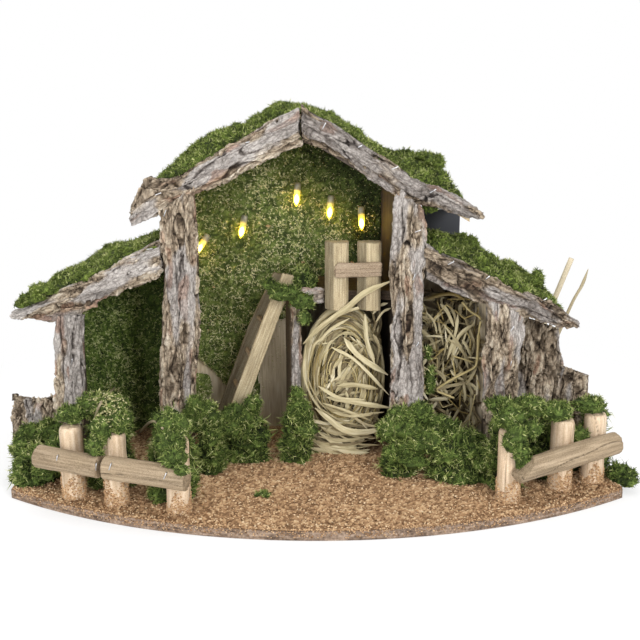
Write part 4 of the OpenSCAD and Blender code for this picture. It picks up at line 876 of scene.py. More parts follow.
def moss_all():
    """All the moss: on the roofs, on the walls and on the ground."""
    roof = dict(density=0.135, length=3.9, hidden=[-UP], lift=0.25, droop=0.1, curly=0.15,
                swell=1.2)
    moss("main_left_roof_moss", "moss_roof_main_left", MOSS_ROOF, 31, **roof)
    moss("main_right_roof_moss", "moss_roof_main_right", MOSS_ROOF, 32, extra=RIGHT_HUMP,
         press=(80, 22, 11), **roof)
    moss("lean_left_roof_moss", "moss_roof_lean_left", MOSS_ROOF, 33, extra=EAVE_TUFTS, **roof)
    moss("lean_right_roof_moss", "moss_roof_lean_right", MOSS_ROOF, 34, extra=LEAN_HUMP,
         **roof)
    wall = dict(length=3.5, lift=0.1, swell=0.45, width=1.1, curly=0.12)
    # The back wall's moss gets painted shade under the right-hand roof
    moss("back_wall_moss", "moss_wall_main", MOSS_WALL, 41, density=0.148, tone=0.57,
         flecks=0.24, dull=0.62, hidden=[-FRONT], bare=BARE_PLACE, extra=WALL_TUFTS, **wall)
    moss("left_lean_moss", "moss_wall_left", MOSS_LEAN, 42, density=0.13, tone=0.64,
         flecks=0.04, hidden=[-FRONT, -RIGHT], **wall)
    tufts = dict(density=0.105, length=4.6, hidden=[-UP], lift=0.25, droop=0.25, wild=0.7,
                 width=1.35, curly=0.15, swell=2.0, wisps=0.1)
    moss("left_ground_moss", "moss_clumps_left", MOSS_GROUND, 51, extra=LEFT_DRAPES, **tufts)
    moss("middle_ground_moss", "moss_clumps_middle", MOSS_GROUND, 52, extra=MIDDLE_TUFTS,
         **tufts)
    moss("right_ground_moss", "moss_clumps_right", MOSS_GROUND, 53, extra=RIGHT_DRAPES,
         **tufts)


# Wall left bare between the ladder and the nest: x from, x to, z below, and depth, in mm
BARE_PLACE = (-66, -14, 140, 131.5)
# Tufts where the photograph shows them: out to the left eave's tip, on the roofs and the
# loft, low on the wall, and over the fence posts, rails and feet. Each has its x and y in the
# photograph's pixels, its depth in mm, and three radii in mm
EAVE_TUFTS = [(44, 289, 12, 13, 12, 6), (33, 297, 4, 12, 11, 6), (22, 304, 2, 8, 9, 4)]
RIGHT_HUMP = [(434, 163, 60, 11, 16, 9), (424, 158, 72, 9, 12, 6), (429, 208, 24, 8, 7, 5)]
LEAN_HUMP = [(531, 281, 50, 13, 14, 6), (537, 276, 52, 6, 9, 6), (505, 266, 60, 10, 12, 6)]
WALL_TUFTS = [(235, 392, 122, 10, 5, 18), (226, 413, 122, 15, 5, 11), (200, 404, 122, 9, 5, 10),
              (201, 386, 124, 12, 4, 15), (229, 376, 124, 7, 4, 9)]
LEFT_DRAPES = [(72, 414, -60, 15, 12, 9), (92, 406, -52, 15, 13, 12),
               (110, 405, -78, 16, 12, 10), (117, 421, -82, 15, 11, 13),
               (101, 430, -94, 10, 6, 14), (95, 447, -101, 7, 5, 10),
               (172, 427, -98, 15, 12, 14), (170, 444, -108, 13, 8, 13),
               (174, 459, -121, 12, 6, 10), (181, 470, -130, 7, 4, 6),
               (46, 472, -48, 12, 11, 8), (31, 436, 8, 15, 9, 12), (50, 431, 8, 15, 9, 12),
               (20, 449, -12, 9, 9, 11), (58, 447, -30, 11, 9, 13), (24, 468, -34, 9, 9, 6)]
MIDDLE_TUFTS = [(196, 415, 2, 12, 12, 20), (236, 418, 24, 18, 9, 13),
                (228, 430, 8, 12, 8, 9), (252, 404, 26, 9, 7, 9), (300, 412, 22, 12, 8, 15),
                (297, 394, 26, 7, 6, 8), (306, 431, 12, 12, 8, 8),
                (284, 293, 43, 19, 9, 8), (302, 301, 41, 12, 7, 9), (304, 318, 40, 6, 5, 9),
                (270, 285, 42, 8, 8, 6), (263, 495, -64, 8, 5, 3)]
RIGHT_DRAPES = [(509, 418, -72, 14, 12, 12), (515, 440, -86, 11, 6, 15),
                (522, 458, -88, 8, 5, 12), (533, 430, -78, 8, 6, 9),
                (500, 405, -50, 14, 11, 8), (528, 408, -50, 18, 12, 11),
                (556, 412, -46, 18, 12, 9), (590, 405, -28, 15, 12, 8),
                (580, 436, -42, 9, 6, 8), (392, 430, -5, 15, 11, 14),
                (410, 446, -12, 17, 12, 12), (414, 462, -26, 15, 9, 6),
                (424, 442, -15, 22, 14, 13), (456, 455, -22, 22, 14, 11),
                (482, 461, -28, 13, 12, 11), (440, 427, 2, 20, 9, 11),
                (470, 442, -5, 18, 11, 11), (627, 479, -28, 9, 8, 10),
                (402, 417, -5, 13, 7, 12), (421, 413, -4, 12, 7, 11),
                (388, 431, -10, 10, 8, 9), (409, 431, -14, 15, 9, 12),
                (430, 380, 26, 5, 4, 15), (428, 352, 26, 3, 3, 8),
                (478, 446, -14, 11, 9, 12)]


# Straw

# Thickness of a wood shaving in mm, and how much darker straw gets with each mm of depth
SHAVING = 0.35
DEPTH_SHADE = 0.034


def straw_part(path, face, width, thick, tone, fold=0.12):
    """A ribbon of one tone, with fibres that run along it."""
    points, faces = ribbon(path, face, width, thick, fold)
    steps = np.linalg.norm(np.diff(path, axis=0), axis=1)
    run = np.repeat(np.concatenate([[0], np.cumsum(steps)]), 6)
    across = np.tile([-0.5, 0, 0.5, 0.5, 0, -0.5], len(path)) * np.repeat(
        np.broadcast_to(width, len(path)), 6)
    grain = np.stack([run * 0.05, across * 0.36, np.full(len(points), tone * 90)], 1)
    return points, faces, {"tone": np.full(len(points), tone), "grain": grain}


def stalk(path, radius, tone, sides, squash=1.0):
    """A round stalk or twig of one tone."""
    points, faces = tube(path, radius, sides, squash)
    return points, faces, {"tone": np.full(len(points), tone), "grain": points}


def tapered(width, count, rng):
    """Widths along a shaving: pointed at both ends and a little wavy between them."""
    s = np.linspace(0, 1, count)
    ends = np.minimum(1, 0.14 + 4.6 * np.minimum(s, 1 - s))
    return width * ends * (1 + 0.1 * np.sin(9 * s + rng.uniform(0, 6)))


def strip(points, width, tone, rng, face=FRONT, count=18):
    """One shaving through a few points."""
    return straw_part(spline(points, count), unit(face + 0.25 * rng.normal(size=3)),
                      tapered(width, count, rng), SHAVING, tone, 0.1)


def photo_strips(rows, depth, bulge, broad, rng):
    """Strips whose middle line the photograph shows, with their widths times broad. The
    middle stands out by the bulge, and the end by some more where a row says so."""
    parts = []
    for pixels, width, tone, *more in rows:
        along = np.linspace(0, 1, len(pixels))
        far = bulge * np.sin((0.15 + 0.7 * along) * np.pi) + along * (more or [0])[0]
        path = [seen(x, y, depth - out) for (x, y), out in zip(pixels, far)]
        parts.append(strip(path, broad * width, tone, rng, face=FRONT + 0.2 * UP,
                           count=24))
    return parts


# Strips in front of the nest and in the right lean-to: pixels, width in mm, tone, and mm by
# which an end stands out further
NEST_STRIPS = [
    ([(303, 344), (322, 326), (348, 307), (366, 292), (394, 280)], 7.4, 0.66, 17),
    ([(306, 345), (304, 375), (312, 397), (326, 416)], 2.6, 0.62),
    ([(309, 342), (307, 372), (315, 395), (330, 414)], 1.8, 0.45),
    ([(331, 347), (356, 361), (389, 395)], 3.6, 0.78),
    ([(344, 338), (359, 356), (388, 375)], 6.6, 0.74),
    ([(365, 314), (367, 341), (375, 364)], 6.2, 0.76),
    ([(337, 386), (356, 385), (378, 389)], 6.0, 0.6),
    ([(326, 397), (352, 402), (392, 408)], 5.6, 0.66),
    ([(318, 386), (340, 398), (366, 400)], 4.0, 0.7),
    ([(315, 408), (329, 419), (345, 430), (366, 432), (387, 427)], 7.0, 0.74),
    ([(373, 314), (379, 306), (388, 303)], 3.2, 0.8),
    ([(376, 322), (383, 312), (391, 308)], 2.6, 0.7),
    ([(373, 334), (378, 343), (380, 353)], 3.4, 0.45),
    ([(322, 327), (341, 314), (363, 307), (373, 308)], 3.4, 0.66),
    ([(318, 344), (330, 330), (350, 318)], 3.2, 0.7),
    ([(310, 361), (314, 345), (326, 336)], 3.0, 0.56),
    ([(332, 412), (352, 416), (384, 412)], 3.6, 0.56),
    ([(322, 403), (344, 410), (372, 421)], 3.2, 0.6)]
LEAN_STRIPS = [
    ([(445, 325), (446, 337), (448, 350)], 2.2, 0.85),
    ([(458, 314), (455, 335), (447, 360)], 4.0, 0.72),
    ([(475, 323), (459, 336), (451, 360)], 5.0, 0.66),
    ([(462, 340), (467, 347), (471, 356)], 4.6, 0.7),
    ([(425, 336), (434, 336), (443, 337)], 2.6, 0.86),
    ([(440, 304), (447, 311), (454, 327)], 4.8, 0.6),
    ([(450, 370), (456, 376), (464, 380)], 4.2, 0.74),
    ([(467, 357), (477, 358), (487, 357)], 1.8, 0.8),
    ([(435, 416), (446, 421), (462, 428)], 2.8, 0.8),
    ([(429, 400), (440, 399), (451, 398)], 5.6, 0.82),
    ([(444, 356), (447, 342), (453, 330)], 3.0, 0.5),
    ([(432, 327), (436, 318), (444, 312)], 2.8, 0.55),
    ([(466, 385), (472, 376), (478, 364)], 3.6, 0.5),
    ([(426, 312), (434, 322), (437, 334)], 3.0, 0.6)]
# The long bent stalk and the dark blade over them
LEAN_STALK = [(462, 302), (470, 311), (480, 318), (479, 331), (478, 348), (476, 365),
              (468, 371), (454, 378), (444, 384), (436, 390), (444, 394), (454, 398)]
LEAN_BLADE = [(426, 299), (440, 295), (454, 294), (466, 300)]


# The nest's box, its middle and half its width and height, its front and its foot, in mm
NEST_LOW, NEST_HIGH = box_mm("straw_nest")
NEST_X, NEST_HALF_X = (NEST_LOW[0] + NEST_HIGH[0]) / 2, (NEST_HIGH[0] - NEST_LOW[0]) / 2
NEST_Z, NEST_HALF_Z = (NEST_LOW[2] + NEST_HIGH[2]) / 2 + 3, (NEST_HIGH[2] - NEST_LOW[2]) / 2
NEST_FRONT, NEST_FOOT = NEST_LOW[1], NEST_LOW[2] + 1.5
# How many strips each layer of the nest has, and how many stalks lie over it
BED_STRIPS, WOUND_STRIPS, MIDDLE_STRIPS, BOTTOM_STRIPS, SIDE_STRIPS = 150, 280, 200, 105, 90
NEST_STALKS = 110


def nest_place(r, a, back):
    """Places at shares of the nest's radius and angles, and mm behind its front."""
    place = np.stack([NEST_X + NEST_HALF_X * r * np.cos(a),
                      NEST_FRONT + back + 12 * r * r + 0 * a,
                      NEST_Z + NEST_HALF_Z * r * np.sin(a)], 1)
    place[:, 2] = np.maximum(place[:, 2], NEST_FOOT)
    return place


def nest_bed(rng):
    """A dark bed of painted shade deep in the nest, so that nothing shows through."""
    parts = []
    for _ in range(many(BED_STRIPS)):
        s = np.linspace(0, 1, 10)
        r = rng.uniform(0.15, 0.95)
        path = nest_place(r + 0 * s, rng.uniform(0, 6.3) + 1.6 * s, rng.uniform(17, 24))
        parts.append(straw_part(path, FRONT, tapered(rng.uniform(5, 8), 10, rng), 0.4,
                                rng.uniform(0.0, 0.2)))
    return parts


def nest_windings(rng):
    """Strips wound round and round, most of them near the rim."""
    parts = []
    for _ in range(many(WOUND_STRIPS)):
        s = np.linspace(0, 1, 14)
        r = 1.0 - 0.55 * rng.random() ** 1.7 + rng.normal(0, 0.03) * s \
            + 0.02 * np.sin(7 * s + rng.uniform(0, 6))
        back = rng.uniform(-1, 15)
        angle = rng.uniform(0, 6.3) + rng.uniform(0.7, 2.2) * s
        path = nest_place(np.clip(r, 0.1, 1.0), angle, back)
        face = unit(FRONT + 0.5 * rng.normal(size=3))
        width = tapered(rng.uniform(1.5, 4.6), 14, rng)
        tone = rng.uniform(0.24, 0.98) - DEPTH_SHADE * max(back, 0)
        parts.append(straw_part(path, face, width, SHAVING, tone))
    return parts


def nest_middle(rng):
    """Short strips over the middle, which lean to the right."""
    parts = []
    for _ in range(many(MIDDLE_STRIPS)):
        middle = nest_place(np.array([0.68 * rng.random() ** 0.6]), rng.uniform(0, 6.3, 1),
                            rng.uniform(0, 14))[0]
        slant = math.radians(rng.normal(60, 24))
        half = rng.uniform(8, 21) * np.array([math.cos(slant), rng.normal(0, 0.12),
                                              math.sin(slant)])
        path = [middle - half, middle + rng.normal(0, 1.5, 3), middle + half]
        tone = rng.uniform(0.3, 1.05) - DEPTH_SHADE * (middle[1] - NEST_FRONT)
        parts.append(strip(path, rng.uniform(1.4, 4.6), tone, rng, count=8))
    return parts


def nest_bottom(rng):
    """Long flat strips across the bottom."""
    parts = []
    for _ in range(many(BOTTOM_STRIPS)):
        middle = np.array([NEST_X + rng.normal(0, 12), NEST_FRONT + rng.uniform(0, 15),
                           NEST_FOOT + 50 * rng.random() ** 1.3])
        slant = math.radians(rng.normal(-9, 11))
        half = rng.uniform(14, 30) * np.array([math.cos(slant), 0, math.sin(slant)])
        half[0] = min(half[0], 40 - abs(middle[0] - NEST_X))
        path = [middle - half + 5 * UP, middle - 2 * UP, middle + half]
        path = np.maximum(path, [NEST_LOW[0], NEST_FRONT - 2, NEST_FOOT])
        tone = rng.uniform(0.3, 0.9) - DEPTH_SHADE * (middle[1] - NEST_FRONT)
        parts.append(strip(path, rng.uniform(1.4, 5.4), tone, rng, count=10))
    return parts


def nest_side(rng):
    """Dark strips between the nest and the partition: painted shade beside the partition."""
    parts = []
    for _ in range(many(SIDE_STRIPS)):
        start = np.array([NEST_HIGH[0] - rng.uniform(4, 12), NEST_FRONT + rng.uniform(2, 24),
                          rng.uniform(NEST_FOOT + 20, NEST_HIGH[2] - 4)])
        lean = unit(rng.normal(size=3) * [0.35, 0.3, 1.0]) * rng.uniform(7, 15)
        path = np.array([start - lean, start, start + lean])
        path[:, 0] = np.minimum(path[:, 0], NEST_HIGH[0] - 3.5)
        parts.append(strip(path, rng.uniform(1.3, 3.2), rng.uniform(0.1, 0.55), rng, count=8))
    return parts


def nest_stalks(rng):
    """Thin stalks wound loosely over the nest."""
    parts = []
    for _ in range(many(NEST_STALKS)):
        s = np.linspace(0, 1, 12)
        path = nest_place(rng.uniform(0.3, 1.0) + rng.normal(0, 0.08) * s,
                          rng.uniform(0, 6.3) + rng.uniform(0.4, 1.7) * s, rng.uniform(-4, 5))
        parts.append(stalk(path, rng.uniform(0.3, 0.62), rng.uniform(0.2, 0.9), 5))
    return parts


def nest():
    """Shavings wound round and round, with loose strips across the front."""
    rng = np.random.default_rng(61)
    parts = nest_bed(rng) + nest_windings(rng) + nest_middle(rng) + nest_bottom(rng)
    parts += nest_side(rng)
    parts += photo_strips(NEST_STRIPS, NEST_FRONT + 1, bulge=5, broad=0.86, rng=rng)
    made = joined("nest_shavings", parts, STRAW, "straw", smooth=False)
    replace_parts(made, "straw_nest", "straw_winding")
    joined("nest_stalks", nest_stalks(rng), YELLOW_STRAW, "straw")


# The right lean-to's straw and the slanting side wall beside it, and the box in which the
# straw is laid, in mm
FILL_LOW, FILL_HIGH = box_mm("straw_fill")
WALL_LOW, WALL_HIGH = box_mm("side_wall_right")
LAID_LOW, LAID_HIGH = FILL_LOW + [-4, -8, 1], FILL_HIGH + [14, 0, 0]
# A back layer darkened with painted shade, a middle one, and pale strips in front: how many
# strips, mm behind the straw's front, darkest and palest tone
FILL_LAYERS = [(160, (30, 52), 0.0, 0.22), (220, (10, 30), 0.12, 0.62),
               (110, (-6, 10), 0.4, 0.92)]
WALL_STRIPS, BENT_STALKS = 110, 60


def clear_of_walls(path):
    """Keeps a path clear of the slanting side wall and the rear wall."""
    share = np.clip((path[:, 1] - WALL_LOW[1]) / (WALL_HIGH[1] - WALL_LOW[1]), 0, 1)
    wall = WALL_HIGH[0] - share * (WALL_HIGH[0] - WALL_LOW[0])
    path[:, 0] = np.minimum(path[:, 0], wall - 9)
    path[:, 1] = np.minimum(path[:, 1], FILL_HIGH[1] - 8)
    return path


def fill_layers(rng):
    """Loose shavings in three depths, darker further back with painted shade."""
    parts = []
    for count, back, dark, pale in FILL_LAYERS:
        for _ in range(many(count)):
            start = rng.uniform(LAID_LOW, LAID_HIGH)
            start[1] = FILL_LOW[1] + rng.uniform(*back)
            lean = unit(rng.normal(size=3) * [0.75, 0.16, 1.0])
            length = rng.uniform(14, 44)
            path = np.clip([start, start + lean * length / 2 + rng.normal(0, 2.5, 3),
                            start + lean * length], LAID_LOW, LAID_HIGH)
            path[1] += 0.3
            parts.append(strip(clear_of_walls(path), rng.uniform(1.2, 4.2),
                               rng.uniform(dark, pale), rng, count=8))
    return parts


def wall_strips(rng):
    """Dark shavings that hide the side wall: painted shade along it."""
    parts = []
    for _ in range(many(WALL_STRIPS)):
        start = np.array([FILL_HIGH[0] + 30, rng.uniform(FILL_LOW[1] - 6, FILL_HIGH[1]),
                          rng.uniform(LAID_LOW[2], FILL_HIGH[2])])
        lean = unit(rng.normal(size=3) * [0.1, 0.5, 1.0]) * rng.uniform(10, 20)
        path = clear_of_walls(np.array([start - lean, start, start + lean]))
        path[:, 2] = np.clip(path[:, 2], LAID_LOW[2], FILL_HIGH[2])
        parts.append(strip(path, rng.uniform(2.5, 5.0), rng.uniform(0.0, 0.3), rng,
                           face=FRONT - RIGHT, count=8))
    return parts


def bent_stalks(rng):
    """Bent stalks, then the long one and the dark blade that the photograph shows."""
    parts = []
    for _ in range(many(BENT_STALKS)):
        start = rng.uniform(LAID_LOW, LAID_HIGH)
        start[1] = FILL_LOW[1] + rng.uniform(-6, 12)
        knee = start + rng.normal(0, 14, 3) * [1, 0.3, 1]
        end = knee + rng.normal(0, 12, 3) * [1, 0.3, 1]
        path = np.concatenate([np.linspace(start, knee, 6), np.linspace(knee, end, 6)[1:]])
        path = np.clip(path, LAID_LOW, LAID_HIGH) + 0.05 * np.arange(len(path))[:, None]
        parts.append(stalk(clear_of_walls(path), rng.uniform(0.4, 0.8),
                           rng.uniform(0.2, 0.9), 6))
    path = spline([seen(x, y, FILL_LOW[1] - 7) for x, y in LEAN_STALK], 48)
    parts.append(stalk(path, radius=2.1, tone=0.8, sides=8, squash=0.6))
    blade = [seen(x, y, FILL_LOW[1] - 5) for x, y in LEAN_BLADE]
    parts.append(strip(blade, 4.4, 0.3, rng, face=UP + FRONT))
    return parts


def fill():
    """Loose shavings and bent stalks that fill the right lean-to."""
    rng = np.random.default_rng(71)
    parts = fill_layers(rng) + wall_strips(rng)
    parts += photo_strips(LEAN_STRIPS, FILL_LOW[1] - 1, bulge=4, broad=0.75, rng=rng)
    made = joined("lean_shavings", parts, STRAW, "straw", smooth=False)
    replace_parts(made, "straw_fill")
    joined("lean_stalks", bent_stalks(rng), YELLOW_STRAW, "straw")


def reeds():
    """Dry stalks behind the right wall: a cut stick and two curled blades."""
    rng = np.random.default_rng(79)
    low, _ = box_mm("reeds")
    y, foot = low[1] + 2, low[2] + 1
    stick = spline([(200, y, foot), (238, y, 112), (274, y, 213)], 30)
    parts = [stalk(stick, radius=2.2, tone=0.8, sides=10, squash=1.35)]
    long_blade = [(222, y + 14, foot), (262, y + 14, 110), (281, y + 14, 160),
                  (291, y + 15, 180), (297, y + 16, 198)]
    short_blade = [(212, y + 7, foot), (240, y + 7, 80), (270, y + 6, 150)]
    for places, width, tone in ((long_blade, 3.6, 0.5), (short_blade, 3.2, 0.7)):
        parts.append(straw_part(spline(places, 24), FRONT, tapered(width, 24, rng),
                                thick=0.6, tone=tone, fold=0.25))
    made = joined("dry_reeds", parts, REED, "reed")
    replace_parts(made, "reeds")


# Sawn and peeled wood

def worked_wood(name, node, material, slot, seed, voxel, wave, splinter, check=0.0,
                painted_left_shade=0.0, tops=()):
    """Timber with wavy faces, worn edges, splintered ends and, on logs, drying checks: wave,
    splinter and check are in mm, and each pattern's size is mm along the timber, across it
    and through it. Its dents and drying checks are darker with painted shade, and
    painted_left_shade darkens the facets that look to the left with painted shade. Each of
    tops shortens one plank and sets its tone of painted light and shade: y from and to, z
    from, old and new top, tone."""
    points, faces, normals = skinned(node, voxel)
    moved, relief, grain = points.copy(), np.ones(len(points)), np.zeros((len(points), 3))
    owner = solids(points, faces)
    for k in range(owner.max() + 1):
        own = owner == k
        middle, axes = own_axes(points[own])
        local = (points[own] - middle) @ axes
        out = normals[own] @ axes
        own_seed = seed + 13 * k
        bow = wave * (layers(local / (40, 11, 11), own_seed, 2) - 0.5)
        nicks = 0.5 * (layers(local / (9, 2.2, 2.2), own_seed + 5, 3) - 0.5)
        torn = splinter * (layers(local / (60, 1.6, 1.6), own_seed + 9, 2) - 0.5) * 2
        rise = bow * 2 + nicks
        angle = np.arctan2(local[:, 2], local[:, 1])
        gap = np.abs(np.sin(angle + 1.4 * noise(local / (45, 40, 40), own_seed + 3)
                            + own_seed % 6))
        dry = check * (1 - ease(gap, 0.0, 0.05)) * ease(
            noise(local / (60, 30, 30), own_seed + 21), 0.35, 0.6)
        side = 1 - np.abs(out[:, 0])
        rise = rise - dry * side
        step = normals[own] * rise[:, None] + axes[:, 0][None] * (
            torn * out[:, 0] * ease(np.abs(out[:, 0]), 0.5, 0.9))[:, None]
        moved[own] = points[own] + step
        stain = noise(local / (30, 9, 9), own_seed + 31)
        # Real stain, with painted shade in dents and drying checks and on facets that look to
        # the left
        relief[own] = np.clip(0.78 + 0.3 * stain + 0.5 * nicks - 0.5 * dry
                              - painted_left_shade * ease(-normals[own][:, 0], 0.15, 0.4), 0.2, 1.05)
        grain[own] = local + own_seed
    for near, far, start, top, new_top, tone in tops:
        own = (points[:, 1] > near) & (points[:, 1] < far)
        over = own & (moved[:, 2] > start)
        moved[over, 2] = start + (moved[over, 2] - start) * (new_top - start) / (top - start)
        # Painted shadow darkens the rear plank, and a little painted light brightens the front
        # one
        relief[own] *= tone
    made = piece(name, moved, [faces], material, slot, relief=relief, grain=grain)
    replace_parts(made, node)


# The ladder's planks in the photograph: the front one, and the darker rear one
# Their last numbers are tones: painted shadow on the rear plank, a little painted light on the
# front one
LADDER_TOPS = [(30, 75, 160, 213, 205, 1.05), (75, 120, 140, 213, 197, 0.52)]


def woodwork():
    """The stub posts, rails, ladder, fences and loft boards."""
    posts = dict(voxel=1.2, wave=0.7, splinter=1.2, check=1.2)
    rails = dict(voxel=1.1, wave=0.9, splinter=1.0, check=1.6)
    boards = dict(wave=0.5, splinter=1.5)
    # The stub posts' left-facing facets get painted shade
    worked_wood("stub_posts", "loft_stub_posts", PINE, "pine", 201, voxel=1.0, wave=0.3,
                splinter=0.6, painted_left_shade=0.34)
    worked_wood("split_rail", "loft_rail", SLAT, "rail_wood", 211, voxel=0.8, wave=0.4,
                splinter=2.5)
    worked_wood("ladder_planks", "ladder_sides", PINE, "pine", 221, voxel=1.0, wave=0.5,
                splinter=3.0, tops=LADDER_TOPS)
    worked_wood("ladder_steps", "ladder_rungs", SLAT, "rail_wood", 231, voxel=0.8, wave=0.9,
                splinter=2.0)
    worked_wood("left_fence_posts", "fence_posts_left", LOG, "log", 241, **posts)
    worked_wood("right_fence_posts", "fence_posts_right", LOG, "log", 251, **posts)
    worked_wood("left_fence_rails", "fence_rails_left", LOG_DARK, "log", 261, **rails)
    worked_wood("right_fence_rail", "fence_rail_right", LOG_DARK, "log", 271, **rails)
    worked_wood("loft_board", "loft_floor", SHADE_DARK_BOARD, "loft_board", 281, voxel=1.6, **boards)
    worked_wood("loft_side_panel", "loft_side_board", SHADE_DARK_BOARD, "loft_board", 291, voxel=1.8,
                **boards)


# Ground

# Length of the board's straight sides, height of the cork bed and width of a granule, in mm
BOARD_SIDE = 186.0
GROUND_Z = 11.0
GRANULE = 3.0
# Grains that lie on the bed, that spill over the board's edge, and that stick to each post
BED_GRAINS, EDGE_GRAINS, POST_GRAINS = 14500, 2600, 780


def board_front(x, inset):
    """Depth of the board's curved front at x, with an inset."""
    low, high = box_mm("base_board")
    chord, rise = (high[0] - low[0]) / 2 - inset, high[1] - low[1] - BOARD_SIDE - inset
    radius = (chord ** 2 + rise ** 2) / (2 * rise)
    return low[1] + inset + radius - np.sqrt(np.maximum(radius ** 2 - x ** 2, 0))


def ground():
    """Glued cork granules: a rough bed, with its rim and its flat underside."""
    low, high = box_mm("base_board")
    inset = 1.2
    pitch = 1.7 / DETAIL ** 0.5
    columns, rows = int((high[0] - low[0]) / pitch), int((high[1] - low[1]) / pitch)
    x = np.linspace(low[0] + inset, high[0] - inset, columns)
    share = np.linspace(0, 1, rows)
    front = board_front(x, inset)
    y = front[:, None] + (high[1] - inset - front)[:, None] * share[None]
    flat = np.stack([np.repeat(x, rows), y.ravel(), np.zeros(columns * rows)], 1)
    near, far, own = cells(flat / GRANULE, 7)
    bed = GROUND_Z - 0.9 + 1.9 * ease(far - near, 0, 0.7) + 0.9 * (own - 0.5) \
        + 1.4 * (layers(flat / 38, 8) - 0.5)
    # Darker where granules meet: painted shade in the gaps between them
    tone = np.clip(0.2 + 0.7 * own + 0.25 * (layers(flat / 50, 9, 2) - 0.5)
                   - 0.35 * (1 - ease(far - near, 0, 0.4)), 0, 1)
    top = flat + bed[:, None] * UP
    at = np.arange(columns * rows).reshape(columns, rows)
    quads = np.stack([at[:-1, :-1], at[1:, :-1], at[1:, 1:], at[:-1, 1:]], -1).reshape(-1, 4)
    rim = np.concatenate([at[:, 0], at[-1, 1:], at[-2::-1, -1], at[0, -2:0:-1]])
    foot = top[rim].copy()
    foot[:, 2] = high[2] - 0.2
    below = len(top) + np.arange(len(rim))
    skirt = np.stack([rim, below, np.roll(below, -1), np.roll(rim, -1)], 1)
    points = np.concatenate([top, foot])
    made = piece("cork_ground", points, [quads, skirt, below[None, ::-1]], CORK, "cork",
                 tone=np.concatenate([tone, tone[rim]]), grain=points)
    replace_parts(made, "ground_granules")


def bed_grains(rng):
    """Grains that lie on the cork bed, more of them towards its front."""
    low, high = box_mm("base_board")
    count = many(BED_GRAINS)
    place = np.zeros((count, 3))
    place[:, 0] = rng.uniform(low[0] + 2, high[0] - 2, count)
    edge = board_front(place[:, 0], 1.0)
    place[:, 1] = edge + (high[1] - 2 - edge) * rng.random(count) ** 1.25
    size = rng.uniform(1.0, 2.7, count)
    place[:, 2] = GROUND_Z + 0.2 + 0.2 * size
    return crumbs(place, size, rng.uniform(0.0, 0.95, count), rng)


def edge_grains(rng):
    """Grains that spill over the board's front edge."""
    low, high = box_mm("base_board")
    count = many(EDGE_GRAINS)
    place = np.zeros((count, 3))
    place[:, 0] = rng.uniform(low[0] + 1, high[0] - 1, count)
    place[:, 1] = board_front(place[:, 0], 0.0) + rng.uniform(-0.6, 0.6, count)
    place[:, 2] = GROUND_Z - 8.5 * rng.random(count) ** 2.2
    return crumbs(place, rng.uniform(1.0, 2.4, count), rng.uniform(0, 0.8, count), rng)


def post_grains(rng):
    """Grains glued up the fence posts' feet, to an uneven height."""
    parts = []
    for node in ("fence_posts_left", "fence_posts_right"):
        points, faces, _ = skinned(node, 3.0)
        owner = solids(points, faces)
        for k in range(owner.max() + 1):
            own = points[owner == k]
            middle = (own.min(0) + own.max(0)) / 2
            radius = (own[:, 0].max() - own[:, 0].min()) / 2
            count = many(POST_GRAINS)
            angle = rng.uniform(0, 2 * np.pi, count)
            reach = 4 + 38 * noise(np.stack([np.cos(angle) * 1.3, np.sin(angle) * 1.3,
                                             angle * 0 + 7 * k], 1), 29)
            up = GROUND_Z + reach * rng.random(count) ** 1.3
            stuck = np.stack([middle[0] + (radius + 0.3) * np.cos(angle),
                              middle[1] + (radius + 0.3) * np.sin(angle), up], 1)
            parts.append(crumbs(stuck, rng.uniform(1.6, 3.0, count),
                                rng.uniform(0.25, 0.8, count), rng))
    return parts


def ground_grains():
    """Loose and glued grains on the cork bed, its edge and the posts' feet."""
    rng = np.random.default_rng(83)
    parts = [bed_grains(rng), edge_grains(rng)] + post_grains(rng)
    joined("cork_grains", parts, CORK, "cork", smooth=False)


def onto(pixels, carriers):
    """Points in mm where pixels of the photograph meet the pieces that carry something."""
    trees = [BVHTree.FromObject(bpy.data.objects[name], bpy.context.evaluated_depsgraph_get())
             for name in carriers]
    found = []
    for x, y in pixels:
        hits = [tree.ray_cast(Vector(CAMERA_PLACE * MM), Vector(pixel_ray(x, y)))
                for tree in trees]
        hits = [hit for hit in hits if hit[0] is not None]
        if hits:
            found.append(np.array(min(hits, key=lambda hit: hit[3])[0]) / MM)
    return np.array(found)


# Small things in the photograph's pixels: a heap of pale grains, two twigs, and bark chips
# with their width in mm
HEAP_MIDDLE, HEAP_SPREAD = (110, 402), (9, 11)
TWIG = [(95, 418), (102, 401), (115, 387)]
STICK = [(140, 432), (152, 421), (163, 428)]
CHIPS = [(268, 226, 10), (209, 330, 5), (214, 287, 5), (303, 262, 6), (352, 262, 6)]
# Pale grains on the back wall's moss and in the heap, and the moss that carries the heap
WALL_GRAINS, HEAP_GRAINS = 2400, 260
LEFT_MOSS = ["left_ground_moss", "left_lean_moss"]


